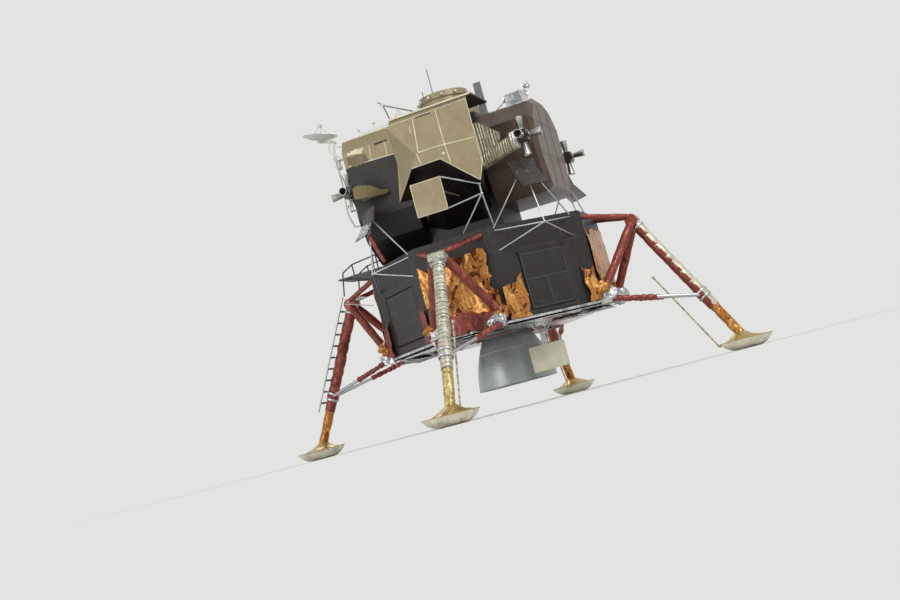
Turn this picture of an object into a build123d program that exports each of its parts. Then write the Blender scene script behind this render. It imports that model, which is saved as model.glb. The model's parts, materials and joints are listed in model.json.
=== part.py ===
"""Crewed lunar module in its landing configuration, standing on its four legs.

Frame: +Z up, forward (hatch and ladder) is -Y, port is +X, and the origin is on the ground
below the middle of the stages. Sizes are in millimetres.
"""

from build123d import *
import math
import os

os.makedirs("parts", exist_ok=True)

MIDDLE = Align.CENTER
LOW = Align.MIN
PIN_PLAY = 0.05

# Stages
BASE_Z = 1473.0
DECK_Z = 3124.0
ARM_HALF = 686.0
ARM_REACH = 2057.0
DECK_SKIN = 16.0
SHIELD_SKIN = 40.0
COVER_SKIN = 25.0
ASCENT_Z = 3230.0

# Landing gear, drawn on the port side and turned about +Z for the other three legs
LEG_TURNS = {"port": 0, "aft": 90, "starboard": 180, "forward": 270}
APEX = Vector(2850, 0, 2755)
BALL = Vector(4242, 0, 150)
STRUT_R = 95.0
PISTON_R = 80.0
BALL_R = 95.0
PAD_R = 470.0
PAD_H = 180.0
SLEEVE_END = 0.72
COLLAR_AT = 0.62
COLLAR_R = 120.0
HEAD_R = 115.0
HEAD_HALF = 150.0
SIDE_STRUT_R = 34.0
LUG_POINT = Vector(2190, 600, 1460)

# Probes, folded up on the inboard side of the strut
PROBE_HINGE = Vector(3745, 0, 150)
PROBE_LENGTH = 1730.0
PROBE_R = 15.0

# Descent engine
GIMBAL_Z = 2050.0
WELL_R = 570.0
WELL_TOP = 2400.0
TRUNNION_R = 20.0
BELL_EXIT_R = 745.0
BELL_EXIT_Z = 440.0
BELL_WALL = 14.0

# Crew cabin and midsection
CABIN_Z = 4390.0
CABIN_BORE_R = 1120.0
CABIN_FRONT_Y = -1778.0
CABIN_BACK_Y = -711.0
FACE_SKIN = 60.0
MID_HALF = 700.0
MID_AFT_Y = 700.0
ROOF_Z = 5600.0
FLOOR_Z = 3550.0
CEILING_Z = 5450.0
WALL = 50.0
TUNNEL_R = 406.0
TUNNEL_TOP = 6083.0
HATCH_SIDE = 800.0
HATCH_MID_Z = 3885.0
HATCH_GAP = 10.0

# Quads
QUAD_OUT = 1680.0
QUAD_Z = 4520.0
JET_IN = 60.0
JET_LENGTH = 280.0
JET_DEPTH = 210.0

# Aerials
TURNTABLE = Vector(0, -2400, 5590)
DISH_PIVOT = Vector(0, -2400, 5940)
DISH_CENTRE = Vector(0, -2630, 6130)
DISH_FACES = Vector(0, 0.235, 0.972)
DISH_R = 335.0
MAST_FOOT = Vector(-1250, -1150, 5400)
MAST_TOP_Z = 5980.0
STEER_R = 330.0

# Landing radar
RADAR_PIVOT = Vector(840, 910, 1045)


def rod(start, end, radius, mode=Mode.ADD):
    """Add a round rod between two points to the open part."""
    path = Edge.make_line(start, end)
    with Locations(Plane(origin=path @ 0.5, z_dir=path % 0.5)):
        Cylinder(radius, path.length, mode=mode)


def block(low, high, mode=Mode.ADD):
    """Add a box between its lowest and highest corners to the open part."""
    size = Vector(*high) - Vector(*low)
    with Locations(Vector(*low)):
        Box(size.X, size.Y, size.Z, align=(LOW, LOW, LOW), mode=mode)


def face_block(plane, low, high, mode=Mode.ADD):
    """Add a box given by two corners in a plane's own coordinates to the open part."""
    size = Vector(*high) - Vector(*low)
    corner = plane.from_local_coords(low)
    with Locations(Plane(origin=corner, x_dir=plane.x_dir, z_dir=plane.z_dir)):
        Box(size.X, size.Y, size.Z, align=(LOW, LOW, LOW), mode=mode)


def pin(centre, axis, radius, length, mode=Mode.ADD):
    """Add a round pin centred on a point, along an axis, to the open part."""
    with Locations(Plane(origin=centre, z_dir=axis)):
        Cylinder(radius, length, mode=mode)


def leg_point(share, lift=0.0, aside=0.0):
    """Return a point at a share of the strut's axis, lifted off it and moved aside."""
    run = (BALL - APEX).normalized()
    out = Vector(-run.Z, 0, run.X)
    return APEX + (BALL - APEX) * share + out * lift + Vector(0, aside, 0)


def save(built, name):
    """Label a finished piece and write its file."""
    built.part.label = name
    export_step(built.part, f"parts/{name}.step")


# Cross-shaped box structure of the descent stage, with the engine well and the gear lugs
with BuildPart() as structure:
    with BuildSketch(Plane.XY.offset(BASE_Z)):
        Rectangle(2 * ARM_REACH, 2 * ARM_HALF)
        Rectangle(2 * ARM_HALF, 2 * ARM_REACH)
    extrude(amount=DECK_Z - BASE_Z)
    with Locations((0, 0, BASE_Z)):
        Cylinder(WELL_R, WELL_TOP - BASE_Z, align=(MIDDLE, MIDDLE, LOW), mode=Mode.SUBTRACT)
    for side in (-1, 1):
        with Locations((side * 505, 0, GIMBAL_Z)):
            Box(190, 120, 120)
        pin((side * 460, 0, GIMBAL_Z), (1, 0, 0), TRUNNION_R + PIN_PLAY, 120, Mode.SUBTRACT)
save(structure, "descent_structure")

# Lugs at the lower corners of the arms, for the outriggers and the side struts
with BuildPart() as lugs:
    for turn in LEG_TURNS.values():
        with Locations(Rotation(0, 0, turn)):
            with Locations((2145, 600, 1565), (2145, -600, 1565)):
                Box(190, 150, 330)
    add(structure.part, mode=Mode.SUBTRACT)
save(lugs, "gear_lugs")

# Four bays that fill the corners between the arms: side, x sign, y sign
BAYS = [
    ("forward_port", 1, -1),
    ("aft_port", 1, 1),
    ("forward_starboard", -1, -1),
    ("aft_starboard", -1, 1),
]
FACE_MID = (ARM_HALF + ARM_REACH) / 2
PALLET_W = 1200.0
PALLET_Z = 1640.0
PALLET_H = 900.0
PALLET_DEPTH = 300.0
PALLET_TOP_DEPTH = 120.0
DOOR_W = 900.0
DOOR_Z = 1580.0
DOOR_H = 1000.0
DOOR_SKIN = 22.0
BAY_DEPTH = 420.0
RECESS_GAP = 15.0
PALLET_PIN_R = 18.0
PALLET_PIN_REACH = 640.0
DOOR_PIN_R = 10.0
DOOR_PIN_REACH = 482.0


def face_plane(x_sign, y_sign):
    """Return the plane of a bay's slanted face: x level, y up, z out of the stage."""
    out = Vector(x_sign, y_sign, 0)
    level = Vector(0, 0, 1).cross(out)
    return Plane(origin=(x_sign * FACE_MID, y_sign * FACE_MID, 0), x_dir=level, z_dir=out)


pallet_face = face_plane(1, -1)
door_face = face_plane(1, 1)
pallet_pivot = pallet_face.from_local_coords((0, PALLET_Z + 12, -20))
door_pivot = door_face.from_local_coords((0, DOOR_Z + DOOR_H + 8, 22))

bays = {}
for name, x_sign, y_sign in BAYS:
    with BuildPart() as bay:
        with BuildSketch(Plane.XY.offset(BASE_Z)):
            with BuildLine():
                Polyline(
                    (x_sign * ARM_HALF, y_sign * ARM_HALF),
                    (x_sign * ARM_REACH, y_sign * ARM_HALF),
                    (x_sign * ARM_HALF, y_sign * ARM_REACH),
                    close=True,
                )
            make_face()
        extrude(amount=DECK_Z - BASE_Z)
        if name == "forward_port":
            with BuildSketch(pallet_face):
                with Locations((0, PALLET_Z - 22)):
                    Rectangle(PALLET_W + 2 * RECESS_GAP, PALLET_H + 3 * RECESS_GAP, align=(MIDDLE, LOW))
            extrude(amount=-(PALLET_DEPTH + RECESS_GAP), mode=Mode.SUBTRACT)
            pin(pallet_pivot, pallet_face.x_dir, PALLET_PIN_R + 0.2, 2 * PALLET_PIN_REACH + 10, Mode.SUBTRACT)
        if name == "aft_port":
            with BuildSketch(door_face):
                with Locations((0, DOOR_Z + 40)):
                    Rectangle(DOOR_W - 80, DOOR_H - 80, align=(MIDDLE, LOW))
            extrude(amount=-BAY_DEPTH, mode=Mode.SUBTRACT)
            for side in (-1, 1):
                ear = side * (DOOR_PIN_REACH - 10)
                top = DOOR_Z + DOOR_H
                face_block(door_face, (ear - 12, top - 12, 0), (ear + 12, top + 28, 42))
            pin(door_pivot, door_face.x_dir, DOOR_PIN_R + PIN_PLAY, 2 * DOOR_PIN_REACH + 10, Mode.SUBTRACT)
    bays[name] = bay
    save(bay, f"bay_{name}")

# Equipment pallet: a wedge that folds down on a hinge along its outer lower edge
pallet_level = pallet_face.x_dir
with BuildPart() as pallet:
    side_plane = Plane(
        origin=pallet_face.from_local_coords((-PALLET_W / 2, PALLET_Z + 6, -4)),
        x_dir=pallet_face.z_dir,
        z_dir=pallet_level,
    )
    up = -1 if side_plane.y_dir.Z < 0 else 1
    with BuildSketch(side_plane):
        with BuildLine():
            Polyline(
                (0, 0),
                (0, up * PALLET_H),
                (-PALLET_TOP_DEPTH, up * PALLET_H),
                (-PALLET_DEPTH, 0),
                close=True,
            )
        make_face()
    extrude(amount=PALLET_W)
    pin(pallet_pivot, pallet_level, PALLET_PIN_R, 2 * PALLET_PIN_REACH)
save(pallet, "equipment_pallet")

# Door of the aft port bay, hinged along its top edge
with BuildPart() as door:
    with BuildSketch(Plane(origin=door_face.from_local_coords((0, 0, 6)), x_dir=door_face.x_dir,
                           z_dir=door_face.z_dir)):
        with Locations((0, DOOR_Z)):
            Rectangle(DOOR_W, DOOR_H, align=(MIDDLE, LOW))
    extrude(amount=DOOR_SKIN)
    pin(door_pivot, door_face.x_dir, 14, DOOR_W)
    pin(door_pivot, door_face.x_dir, DOOR_PIN_R, 2 * DOOR_PIN_REACH)
save(door, "bay_door")

# Top deck and base heat shield: octagon plates over and under the box structure
OCTAGON = [
    (ARM_REACH, -ARM_HALF), (ARM_REACH, ARM_HALF), (ARM_HALF, ARM_REACH), (-ARM_HALF, ARM_REACH),
    (-ARM_REACH, ARM_HALF), (-ARM_REACH, -ARM_HALF), (-ARM_HALF, -ARM_REACH), (ARM_HALF, -ARM_REACH),
]
with BuildPart() as top_deck:
    with BuildSketch(Plane.XY.offset(DECK_Z)):
        with BuildLine():
            Polyline(*OCTAGON, close=True)
        make_face()
    extrude(amount=DECK_SKIN)
save(top_deck, "top_deck")

with BuildPart() as heat_shield:
    with BuildSketch(Plane.XY.offset(BASE_Z - SHIELD_SKIN)):
        with BuildLine():
            Polyline(*OCTAGON, close=True)
        make_face()
        Circle(WELL_R + 20, mode=Mode.SUBTRACT)
    extrude(amount=SHIELD_SKIN)
    add(lugs.part, mode=Mode.SUBTRACT)
save(heat_shield, "base_heat_shield")

# Primary strut: sleeve, cross head at the apex and collar for the side struts
with BuildPart() as strut:
    rod(APEX, leg_point(SLEEVE_END), STRUT_R)
    pin(APEX, (0, 1, 0), HEAD_R, 2 * HEAD_HALF)
    rod(leg_point(COLLAR_AT - 0.025), leg_point(COLLAR_AT + 0.025), COLLAR_R)

# Outriggers: two thick lower tubes and two thinner upper tubes from the head to the arm's corners
with BuildPart() as outriggers:
    for side in (-1, 1):
        rod((2830, side * 130, 2690), (2170, side * 600, 1670), 72)
        rod((2820, side * 130, 2835), (2030, side * 610, 3030), 42)
    add(strut.part, mode=Mode.SUBTRACT)
    add(structure.part, mode=Mode.SUBTRACT)
    add(lugs.part, mode=Mode.SUBTRACT)

# Side struts from the collar to the lugs
with BuildPart() as side_struts:
    for side in (-1, 1):
        inner = (LUG_POINT.X, side * LUG_POINT.Y, LUG_POINT.Z)
        rod(leg_point(COLLAR_AT, -30, side * 75), inner, SIDE_STRUT_R)
    add(strut.part, mode=Mode.SUBTRACT)
    add(lugs.part, mode=Mode.SUBTRACT)

# Inner piston with its ball
with BuildPart() as piston:
    rod(leg_point(SLEEVE_END), BALL, PISTON_R)
    with Locations(BALL):
        Sphere(BALL_R)

# Foot pad: a dished plate with the ball's socket
with BuildPart() as footpad:
    with BuildSketch(Plane.XZ):
        with BuildLine():
            Line((0, 0), (210, 0))
            ThreePointArc((210, 0), (372, 62), (PAD_R, PAD_H - 12))
            Polyline((PAD_R, PAD_H - 12), (PAD_R, PAD_H), (PAD_R - 30, PAD_H))
            ThreePointArc((PAD_R - 30, PAD_H), (350, 98), (210, 46))
            Polyline((210, 46), (150, 46), (150, 140), (0, 140), (0, 0))
        make_face()
    revolve(axis=Axis.Z)
    with Locations((0, 0, BALL.Z)):
        Sphere(BALL_R + 0.3, mode=Mode.SUBTRACT)

# End covers of the four arms, lapped round on to the slanted faces and cut clear of the outriggers
WRAP_SKIN = 22.0
WRAP_LOW_Z = 1500.0
WRAP_HIGH_Z = 2130.0
WRAP_CORNER = 979.0
WRAP_END = 700.0
LONG_WRAP_END = 480.0
with BuildPart() as arm_covers:
    for turn in LEG_TURNS.values():
        with Locations(Rotation(0, 0, turn)):
            with Locations((ARM_REACH, 0, 1575)):
                Box(COVER_SKIN, 2 * ARM_HALF, DECK_Z - 1585, align=(LOW, MIDDLE, LOW))
    for name, x_sign, y_sign in BAYS:
        slant = face_plane(x_sign, y_sign)
        near_end = LONG_WRAP_END if name == "aft_port" else WRAP_END
        face_block(slant, (-WRAP_CORNER, WRAP_LOW_Z, 0), (-near_end, WRAP_HIGH_Z, WRAP_SKIN))
        face_block(slant, (WRAP_END, WRAP_LOW_Z, 0), (WRAP_CORNER, WRAP_HIGH_Z, WRAP_SKIN))
    for turn in LEG_TURNS.values():
        add(outriggers.part, rotation=(0, 0, turn), mode=Mode.SUBTRACT)
    add(structure.part, mode=Mode.SUBTRACT)
    add(lugs.part, mode=Mode.SUBTRACT)
save(arm_covers, "arm_end_covers")

for side, turn in LEG_TURNS.items():
    with BuildPart() as turned_strut:
        add(strut.part, rotation=(0, 0, turn))
    save(turned_strut, f"primary_strut_{side}")
    with BuildPart() as turned_outriggers:
        add(outriggers.part, rotation=(0, 0, turn))
    save(turned_outriggers, f"outriggers_{side}")

with BuildPart() as all_side_struts:
    for turn in LEG_TURNS.values():
        add(side_struts.part, rotation=(0, 0, turn))
save(all_side_struts, "side_struts")

with BuildPart() as all_pistons:
    for turn in LEG_TURNS.values():
        add(piston.part, rotation=(0, 0, turn))
save(all_pistons, "strut_pistons")

# Pads, with a hinge lug for a probe on all but the forward leg
with BuildPart() as all_pads:
    with PolarLocations(BALL.X, len(LEG_TURNS)):
        add(footpad.part)
    for side, turn in LEG_TURNS.items():
        if side == "forward":
            continue
        with Locations(Rotation(0, 0, turn)):
            with Locations((3762, 40, 150), (3762, -40, 150)):
                Box(60, 24, 44)
            pin(PROBE_HINGE, (0, 1, 0), 6 + PIN_PLAY, 120, Mode.SUBTRACT)
save(all_pads, "footpads")

# Probes: a slim rod with a hinge eye and a tip cup
run = (BALL - APEX).normalized()
probe_tip = PROBE_HINGE - run * PROBE_LENGTH
with BuildPart() as probe:
    rod(PROBE_HINGE, probe_tip, PROBE_R)
    pin(PROBE_HINGE, (0, 1, 0), 16, 46)
    pin(PROBE_HINGE, (0, 1, 0), 6, 104)
    rod(probe_tip, probe_tip + run * 60, 24)
for side, turn in LEG_TURNS.items():
    if side == "forward":
        continue
    with BuildPart() as turned_probe:
        add(probe.part, rotation=(0, 0, turn))
    save(turned_probe, f"probe_{side}")

# Ladder on the forward leg
LADDER_LIFT = 140.0
LADDER_HALF = 215.0
RUNG_PITCH = 229.0
RUNGS = 9
STRUT_LENGTH = (BALL - APEX).length
with BuildPart() as ladder:
    for side in (-1, 1):
        rod(leg_point(-0.04, LADDER_LIFT, side * LADDER_HALF),
            leg_point(0.74, LADDER_LIFT, side * LADDER_HALF), 17)
    for rung in range(RUNGS):
        share = 0.06 + rung * RUNG_PITCH / STRUT_LENGTH
        rod(leg_point(share, LADDER_LIFT, -LADDER_HALF), leg_point(share, LADDER_LIFT, LADDER_HALF), 14)
        if rung in (1, 4, 7):
            rod(leg_point(share, 40), leg_point(share, LADDER_LIFT), 22)
    add(strut.part, mode=Mode.SUBTRACT)
with BuildPart() as turned_ladder:
    add(ladder.part, rotation=(0, 0, LEG_TURNS["forward"]))
save(turned_ladder, "ladder")

# Porch between the hatch and the ladder, with its two rails
PORCH_IN = 1850.0
PORCH_OUT = 2850.0
PORCH_HALF = 390.0
PORCH_Z = 3215.0
RAIL_R = 14.0
RAIL_LINE = [(1990, 3500), (2500, 3450), (2725, 3340), (2812, 2900)]
with BuildPart() as porch:
    block((PORCH_IN, -PORCH_HALF, PORCH_Z), (PORCH_OUT, PORCH_HALF, PORCH_Z + 30))
    for side in (-1, 1):
        for foot, top in ((1990, 3500), (2500, 3450)):
            rod((foot, side * PORCH_HALF, PORCH_Z + 15), (foot, side * PORCH_HALF, top), RAIL_R)
        for start, end in zip(RAIL_LINE, RAIL_LINE[1:]):
            rod((start[0], side * PORCH_HALF, start[1]), (end[0], side * PORCH_HALF, end[1]), RAIL_R)
            with Locations((start[0], side * PORCH_HALF, start[1])):
                Sphere(RAIL_R)
        rod((PORCH_OUT - 90, side * 300, PORCH_Z + 10), (ARM_REACH - 20, side * 300, 3050), 18)
        inner, outer = side * 300 - 40, side * 300 + 40
        block((PORCH_IN + 20, inner, DECK_Z + DECK_SKIN), (PORCH_IN + 160, outer, PORCH_Z + 5))
    add(structure.part, mode=Mode.SUBTRACT)
    add(top_deck.part, mode=Mode.SUBTRACT)
with BuildPart() as turned_porch:
    add(porch.part, rotation=(0, 0, LEG_TURNS["forward"]))
    add(arm_covers.part, mode=Mode.SUBTRACT)
save(turned_porch, "porch")

# Descent engine: gimbal ring on fore-and-aft bores, chamber and bell
with BuildPart() as gimbal_ring:
    with BuildSketch(Plane.XY.offset(GIMBAL_Z - 35)):
        Circle(380)
        Circle(320, mode=Mode.SUBTRACT)
    extrude(amount=70)
    for side in (-1, 1):
        pin((side * 425, 0, GIMBAL_Z), (1, 0, 0), TRUNNION_R, 110)
    pin((0, 0, GIMBAL_Z), (0, 1, 0), TRUNNION_R + PIN_PLAY, 800, Mode.SUBTRACT)
save(gimbal_ring, "engine_gimbal_ring")

with BuildPart() as engine:
    with BuildSketch(Plane.XZ):
        with BuildLine():
            Polyline((0, 2150), (160, 2150), (240, 2120), (240, 1975), (215, 1930), (140, 1800))
            ThreePointArc((140, 1800), (535, 1230), (BELL_EXIT_R, BELL_EXIT_Z))
            Line((BELL_EXIT_R, BELL_EXIT_Z), (BELL_EXIT_R - BELL_WALL, BELL_EXIT_Z))
            ThreePointArc((BELL_EXIT_R - BELL_WALL, BELL_EXIT_Z), (535 - BELL_WALL, 1230), (120, 1775))
            Polyline((120, 1775), (0, 1775), (0, 2150))
        make_face()
    revolve(axis=Axis.Z)
    for side in (-1, 1):
        pin((0, side * 300, GIMBAL_Z), (0, 1, 0), TRUNNION_R, 150)
save(engine, "descent_engine")

# Landing radar below the base, on its bracket
RADAR_LOW = (RADAR_PIVOT.X - 60, RADAR_PIVOT.Y - 310, 530)
RADAR_HIGH = (RADAR_PIVOT.X + 60, RADAR_PIVOT.Y + 310, 970)
with BuildPart() as radar_box:
    block(RADAR_LOW, RADAR_HIGH)
    low = (RADAR_PIVOT.X - 40, RADAR_PIVOT.Y - 40, 960)
    block(low, (RADAR_PIVOT.X + 40, RADAR_PIVOT.Y + 40, RADAR_PIVOT.Z + 30))
    pin(RADAR_PIVOT, (1, 0, 0), 12, 160)
save(radar_box, "landing_radar")

with BuildPart() as radar_bracket:
    for side in (-1, 1):
        centre = RADAR_PIVOT.X + side * 60
        block((centre - 12, RADAR_PIVOT.Y - 45, RADAR_PIVOT.Z - 35), (centre + 12, RADAR_PIVOT.Y + 45, 1200))
    block((RADAR_PIVOT.X - 72, RADAR_PIVOT.Y - 45, 1170), (RADAR_PIVOT.X + 72, RADAR_PIVOT.Y + 45, 1200))
    pin(RADAR_PIVOT, (1, 0, 0), 12 + PIN_PLAY, 200, Mode.SUBTRACT)
    for side in (-1, 1):
        for end in (-1, 1):
            rod((RADAR_PIVOT.X + side * 50, RADAR_PIVOT.Y + end * 30, 1185),
                (RADAR_PIVOT.X + side * 200, RADAR_PIVOT.Y + end * 220, 1450), 14)
    add(heat_shield.part, mode=Mode.SUBTRACT)
    add(bays["aft_port"].part, mode=Mode.SUBTRACT)
save(radar_bracket, "radar_bracket")

# Crew cabin shell: flat-sided outer skin round the pressure cylinder
CABIN_SECTION = [
    (-560, 3240), (560, 3240), (1010, 3620), (1170, 4050), (1170, 5380), (1010, 5610),
    (-1010, 5610), (-1170, 5380), (-1170, 4050), (-1010, 3620),
]
with BuildPart() as cabin:
    with BuildSketch(Plane.XZ.offset(-CABIN_BACK_Y)):
        with BuildLine():
            Polyline(*CABIN_SECTION, close=True)
        make_face()
        with Locations((0, CABIN_Z)):
            Circle(CABIN_BORE_R, mode=Mode.SUBTRACT)
    extrude(amount=CABIN_BACK_Y - CABIN_FRONT_Y)
    block((380, -1500, 5300), (560, -1150, 5700), Mode.SUBTRACT)
save(cabin, "cabin_shell")

# Front face with the hatch, and a raised brow with a window in each canted side
BROW_FRONT_Y = -2030.0
BROW_BACK = [(-1010, 5300), (1010, 5300), (1010, 4700), (420, 4345), (-420, 4345), (-1010, 4700)]
BROW_FRONT = [(-230, 5240), (230, 5240), (230, 4700), (140, 4646), (-140, 4646), (-230, 4700)]
WINDOW = [(70, 190), (640, 140), (170, -230)]
WINDOW_MID_Z = 4970.0
PANE_DEPTH = 30.0
PANE_SKIN = 12.0


def window_plane(sign):
    """Return the plane of the brow's canted side: x along it, y up, z out of the cabin."""
    along = Vector(780, sign * 192, 0)
    out = Vector(sign * 192, -780, 0)
    return Plane(origin=(sign * 230, BROW_FRONT_Y, WINDOW_MID_Z), x_dir=along, z_dir=out)


def window_outline(sign):
    """Return a window's corners in its plane."""
    return [(sign * along, up) for along, up in WINDOW]


HATCH_LOW_Z = HATCH_MID_Z - HATCH_SIDE / 2
HATCH_HIGH_Z = HATCH_MID_Z + HATCH_SIDE / 2
with BuildPart() as face:
    with BuildSketch(Plane.XZ.offset(-CABIN_FRONT_Y)):
        with BuildLine():
            Polyline(*CABIN_SECTION, close=True)
        make_face()
        with Locations((0, HATCH_MID_Z)):
            Rectangle(HATCH_SIDE, HATCH_SIDE, mode=Mode.SUBTRACT)
    extrude(amount=FACE_SKIN)
    with BuildSketch(Plane.XZ.offset(FACE_SKIN - CABIN_FRONT_Y)):
        with BuildLine():
            Polyline(*BROW_BACK, close=True)
        make_face()
    with BuildSketch(Plane.XZ.offset(-BROW_FRONT_Y)):
        with BuildLine():
            Polyline(*BROW_FRONT, close=True)
        make_face()
    loft(ruled=True)
    for side in (-1, 1):
        with BuildSketch(window_plane(side)):
            with BuildLine():
                Polyline(*window_outline(side), close=True)
            make_face()
        extrude(amount=-500, mode=Mode.SUBTRACT)
    for side in (-1, 1):
        with Locations((-432, CABIN_FRONT_Y + 20, HATCH_MID_Z + side * 250)):
            Box(40, 40, 60)
    pin((-432, CABIN_FRONT_Y + 22, HATCH_MID_Z), (0, 0, 1), 8 + PIN_PLAY, 700, Mode.SUBTRACT)
save(face, "cabin_front")

with BuildPart() as hatch:
    block((-HATCH_SIDE / 2 + HATCH_GAP, CABIN_FRONT_Y - FACE_SKIN + 8, HATCH_LOW_Z + HATCH_GAP),
          (HATCH_SIDE / 2 - HATCH_GAP, CABIN_FRONT_Y + 6, HATCH_HIGH_Z - HATCH_GAP))
    block((-440, CABIN_FRONT_Y + 6, HATCH_MID_Z - 200), (-300, CABIN_FRONT_Y + 38, HATCH_MID_Z + 200))
    pin((-432, CABIN_FRONT_Y + 22, HATCH_MID_Z), (0, 0, 1), 16, 400)
    pin((-432, CABIN_FRONT_Y + 22, HATCH_MID_Z), (0, 0, 1), 8, 560)
save(hatch, "forward_hatch")

with BuildPart() as panes:
    for side in (-1, 1):
        with BuildSketch(window_plane(side).offset(-PANE_DEPTH)):
            with BuildLine():
                Polyline(*window_outline(side), close=True)
            make_face()
        extrude(amount=-PANE_SKIN)
    block((380, -1500, 5580), (560, -1150, 5580 + PANE_SKIN))
save(panes, "window_panes")

# Instrument panel behind the front face
with BuildPart() as instruments:
    block((-620, CABIN_FRONT_Y, 4320), (620, -1560, 4540))
    for side in (-1, 1):
        block((side * 850 - 90, CABIN_FRONT_Y, 4180), (side * 850 + 90, -1180, 4300))
save(instruments, "instrument_panels")

# Midsection: floor, walls and roof, open to the cabin in front
with BuildPart() as mid_floor:
    block((-MID_HALF, CABIN_BACK_Y, ASCENT_Z), (MID_HALF, MID_AFT_Y, FLOOR_Z))
    with Locations((0, 0, ASCENT_Z)):
        Cylinder(281, 800, mode=Mode.SUBTRACT)
save(mid_floor, "midsection_floor")

with BuildPart() as mid_walls:
    room = MID_HALF - WALL
    block((-MID_HALF, CABIN_BACK_Y, FLOOR_Z), (MID_HALF, MID_AFT_Y, CEILING_Z))
    block((-room, CABIN_BACK_Y, FLOOR_Z), (room, MID_AFT_Y - WALL, CEILING_Z), Mode.SUBTRACT)
save(mid_walls, "midsection_walls")

with BuildPart() as mid_roof:
    block((-MID_HALF, CABIN_BACK_Y, CEILING_Z), (MID_HALF, MID_AFT_Y, ROOF_Z))
    with Locations((0, 0, ROOF_Z)):
        Cylinder(TUNNEL_R, 400, mode=Mode.SUBTRACT)
    for side in (-1, 1):
        block((side * 250 - 25, 430, CEILING_Z - 60), (side * 250 + 25, 490, CEILING_Z))
    pin((0, 460, CEILING_Z - 30), (1, 0, 0), 8 + PIN_PLAY, 700, Mode.SUBTRACT)
save(mid_roof, "midsection_roof")

with BuildPart() as tunnel:
    with BuildSketch(Plane.XY.offset(ROOF_Z)):
        Circle(TUNNEL_R + 40)
        Circle(TUNNEL_R, mode=Mode.SUBTRACT)
    extrude(amount=TUNNEL_TOP - ROOF_Z)
    with BuildSketch(Plane.XY.offset(TUNNEL_TOP - 110)):
        Circle(TUNNEL_R + 75)
        Circle(TUNNEL_R, mode=Mode.SUBTRACT)
    extrude(amount=110)
save(tunnel, "docking_tunnel")

with BuildPart() as top_hatch:
    with Locations((0, 0, CEILING_Z - 50)):
        Cylinder(TUNNEL_R + 20, 44, align=(MIDDLE, MIDDLE, LOW))
    block((-180, 380, CEILING_Z - 50), (180, 462, CEILING_Z - 12))
    pin((0, 460, CEILING_Z - 30), (1, 0, 0), 18, 360)
    pin((0, 460, CEILING_Z - 30), (1, 0, 0), 8, 540)
save(top_hatch, "overhead_hatch")

with BuildPart() as ascent_engine:
    with Locations((0, 0, ASCENT_Z)):
        Cylinder(280, 820, align=(MIDDLE, MIDDLE, LOW))
save(ascent_engine, "ascent_engine")

# Tank bays: outline at the outer face and at the midsection, as (y, z)
PORT_FACE_X = 2470.0
STARBOARD_FACE_X = 1820.0
BAY_OUTER = [
    (-430, 5255), (1070, 5278), (1070, 4140), (960, 3870),
    (370, 4430), (-170, 4420), (-610, 3930), (-460, 4610),
]
BAY_ROOT = [
    (-705, 5500), (560, 5500), (560, 4300), (560, 3700),
    (450, 3480), (-350, 3480), (-705, 3640), (-705, 4500),
]
FACET_OUTER_X = 2480.0
FACET_OUTER = [(-533, 5400), (-20, 4630), (-170, 4410), (-700, 3500), (-1400, 3500), (-1400, 5400)]
FACET_INNER_X = 2200.0
FACET_INNER = [(-973, 5400), (-460, 4610), (-610, 3930), (-1140, 3020), (-1840, 3020), (-1840, 5400)]
EAVE_LOW = (1500, -360, 5328)
EAVE_HIGH = (2495, 1180, 5360)


def tank_bay(sign, face_x):
    """Return the two planes and outlines of a tank bay on one side."""
    root = Plane(origin=(sign * MID_HALF, 0, 0), x_dir=(0, 1, 0), z_dir=(1, 0, 0))
    outer = Plane(origin=(sign * face_x, 0, 0), x_dir=(0, 1, 0), z_dir=(1, 0, 0))
    return root, outer


tank_bays = {}
for name, sign, face_x in (("port", 1, PORT_FACE_X), ("starboard", -1, STARBOARD_FACE_X)):
    root_plane, outer_plane = tank_bay(sign, face_x)
    with BuildPart() as bay:
        with BuildSketch(root_plane):
            with BuildLine():
                Polyline(*BAY_ROOT, close=True)
            make_face()
        with BuildSketch(outer_plane):
            with BuildLine():
                Polyline(*BAY_OUTER, close=True)
            make_face()
        loft(ruled=True)
        if name == "port":
            for depth, outline in ((FACET_OUTER_X, FACET_OUTER), (FACET_INNER_X, FACET_INNER)):
                with BuildSketch(Plane(origin=(depth, 0, 0), x_dir=(0, 1, 0), z_dir=(1, 0, 0))):
                    with BuildLine():
                        Polyline(*outline, close=True)
                    make_face()
            loft(ruled=True, mode=Mode.SUBTRACT)
            block(EAVE_LOW, EAVE_HIGH)
    tank_bays[name] = bay
    save(bay, f"tank_bay_{name}")

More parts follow.
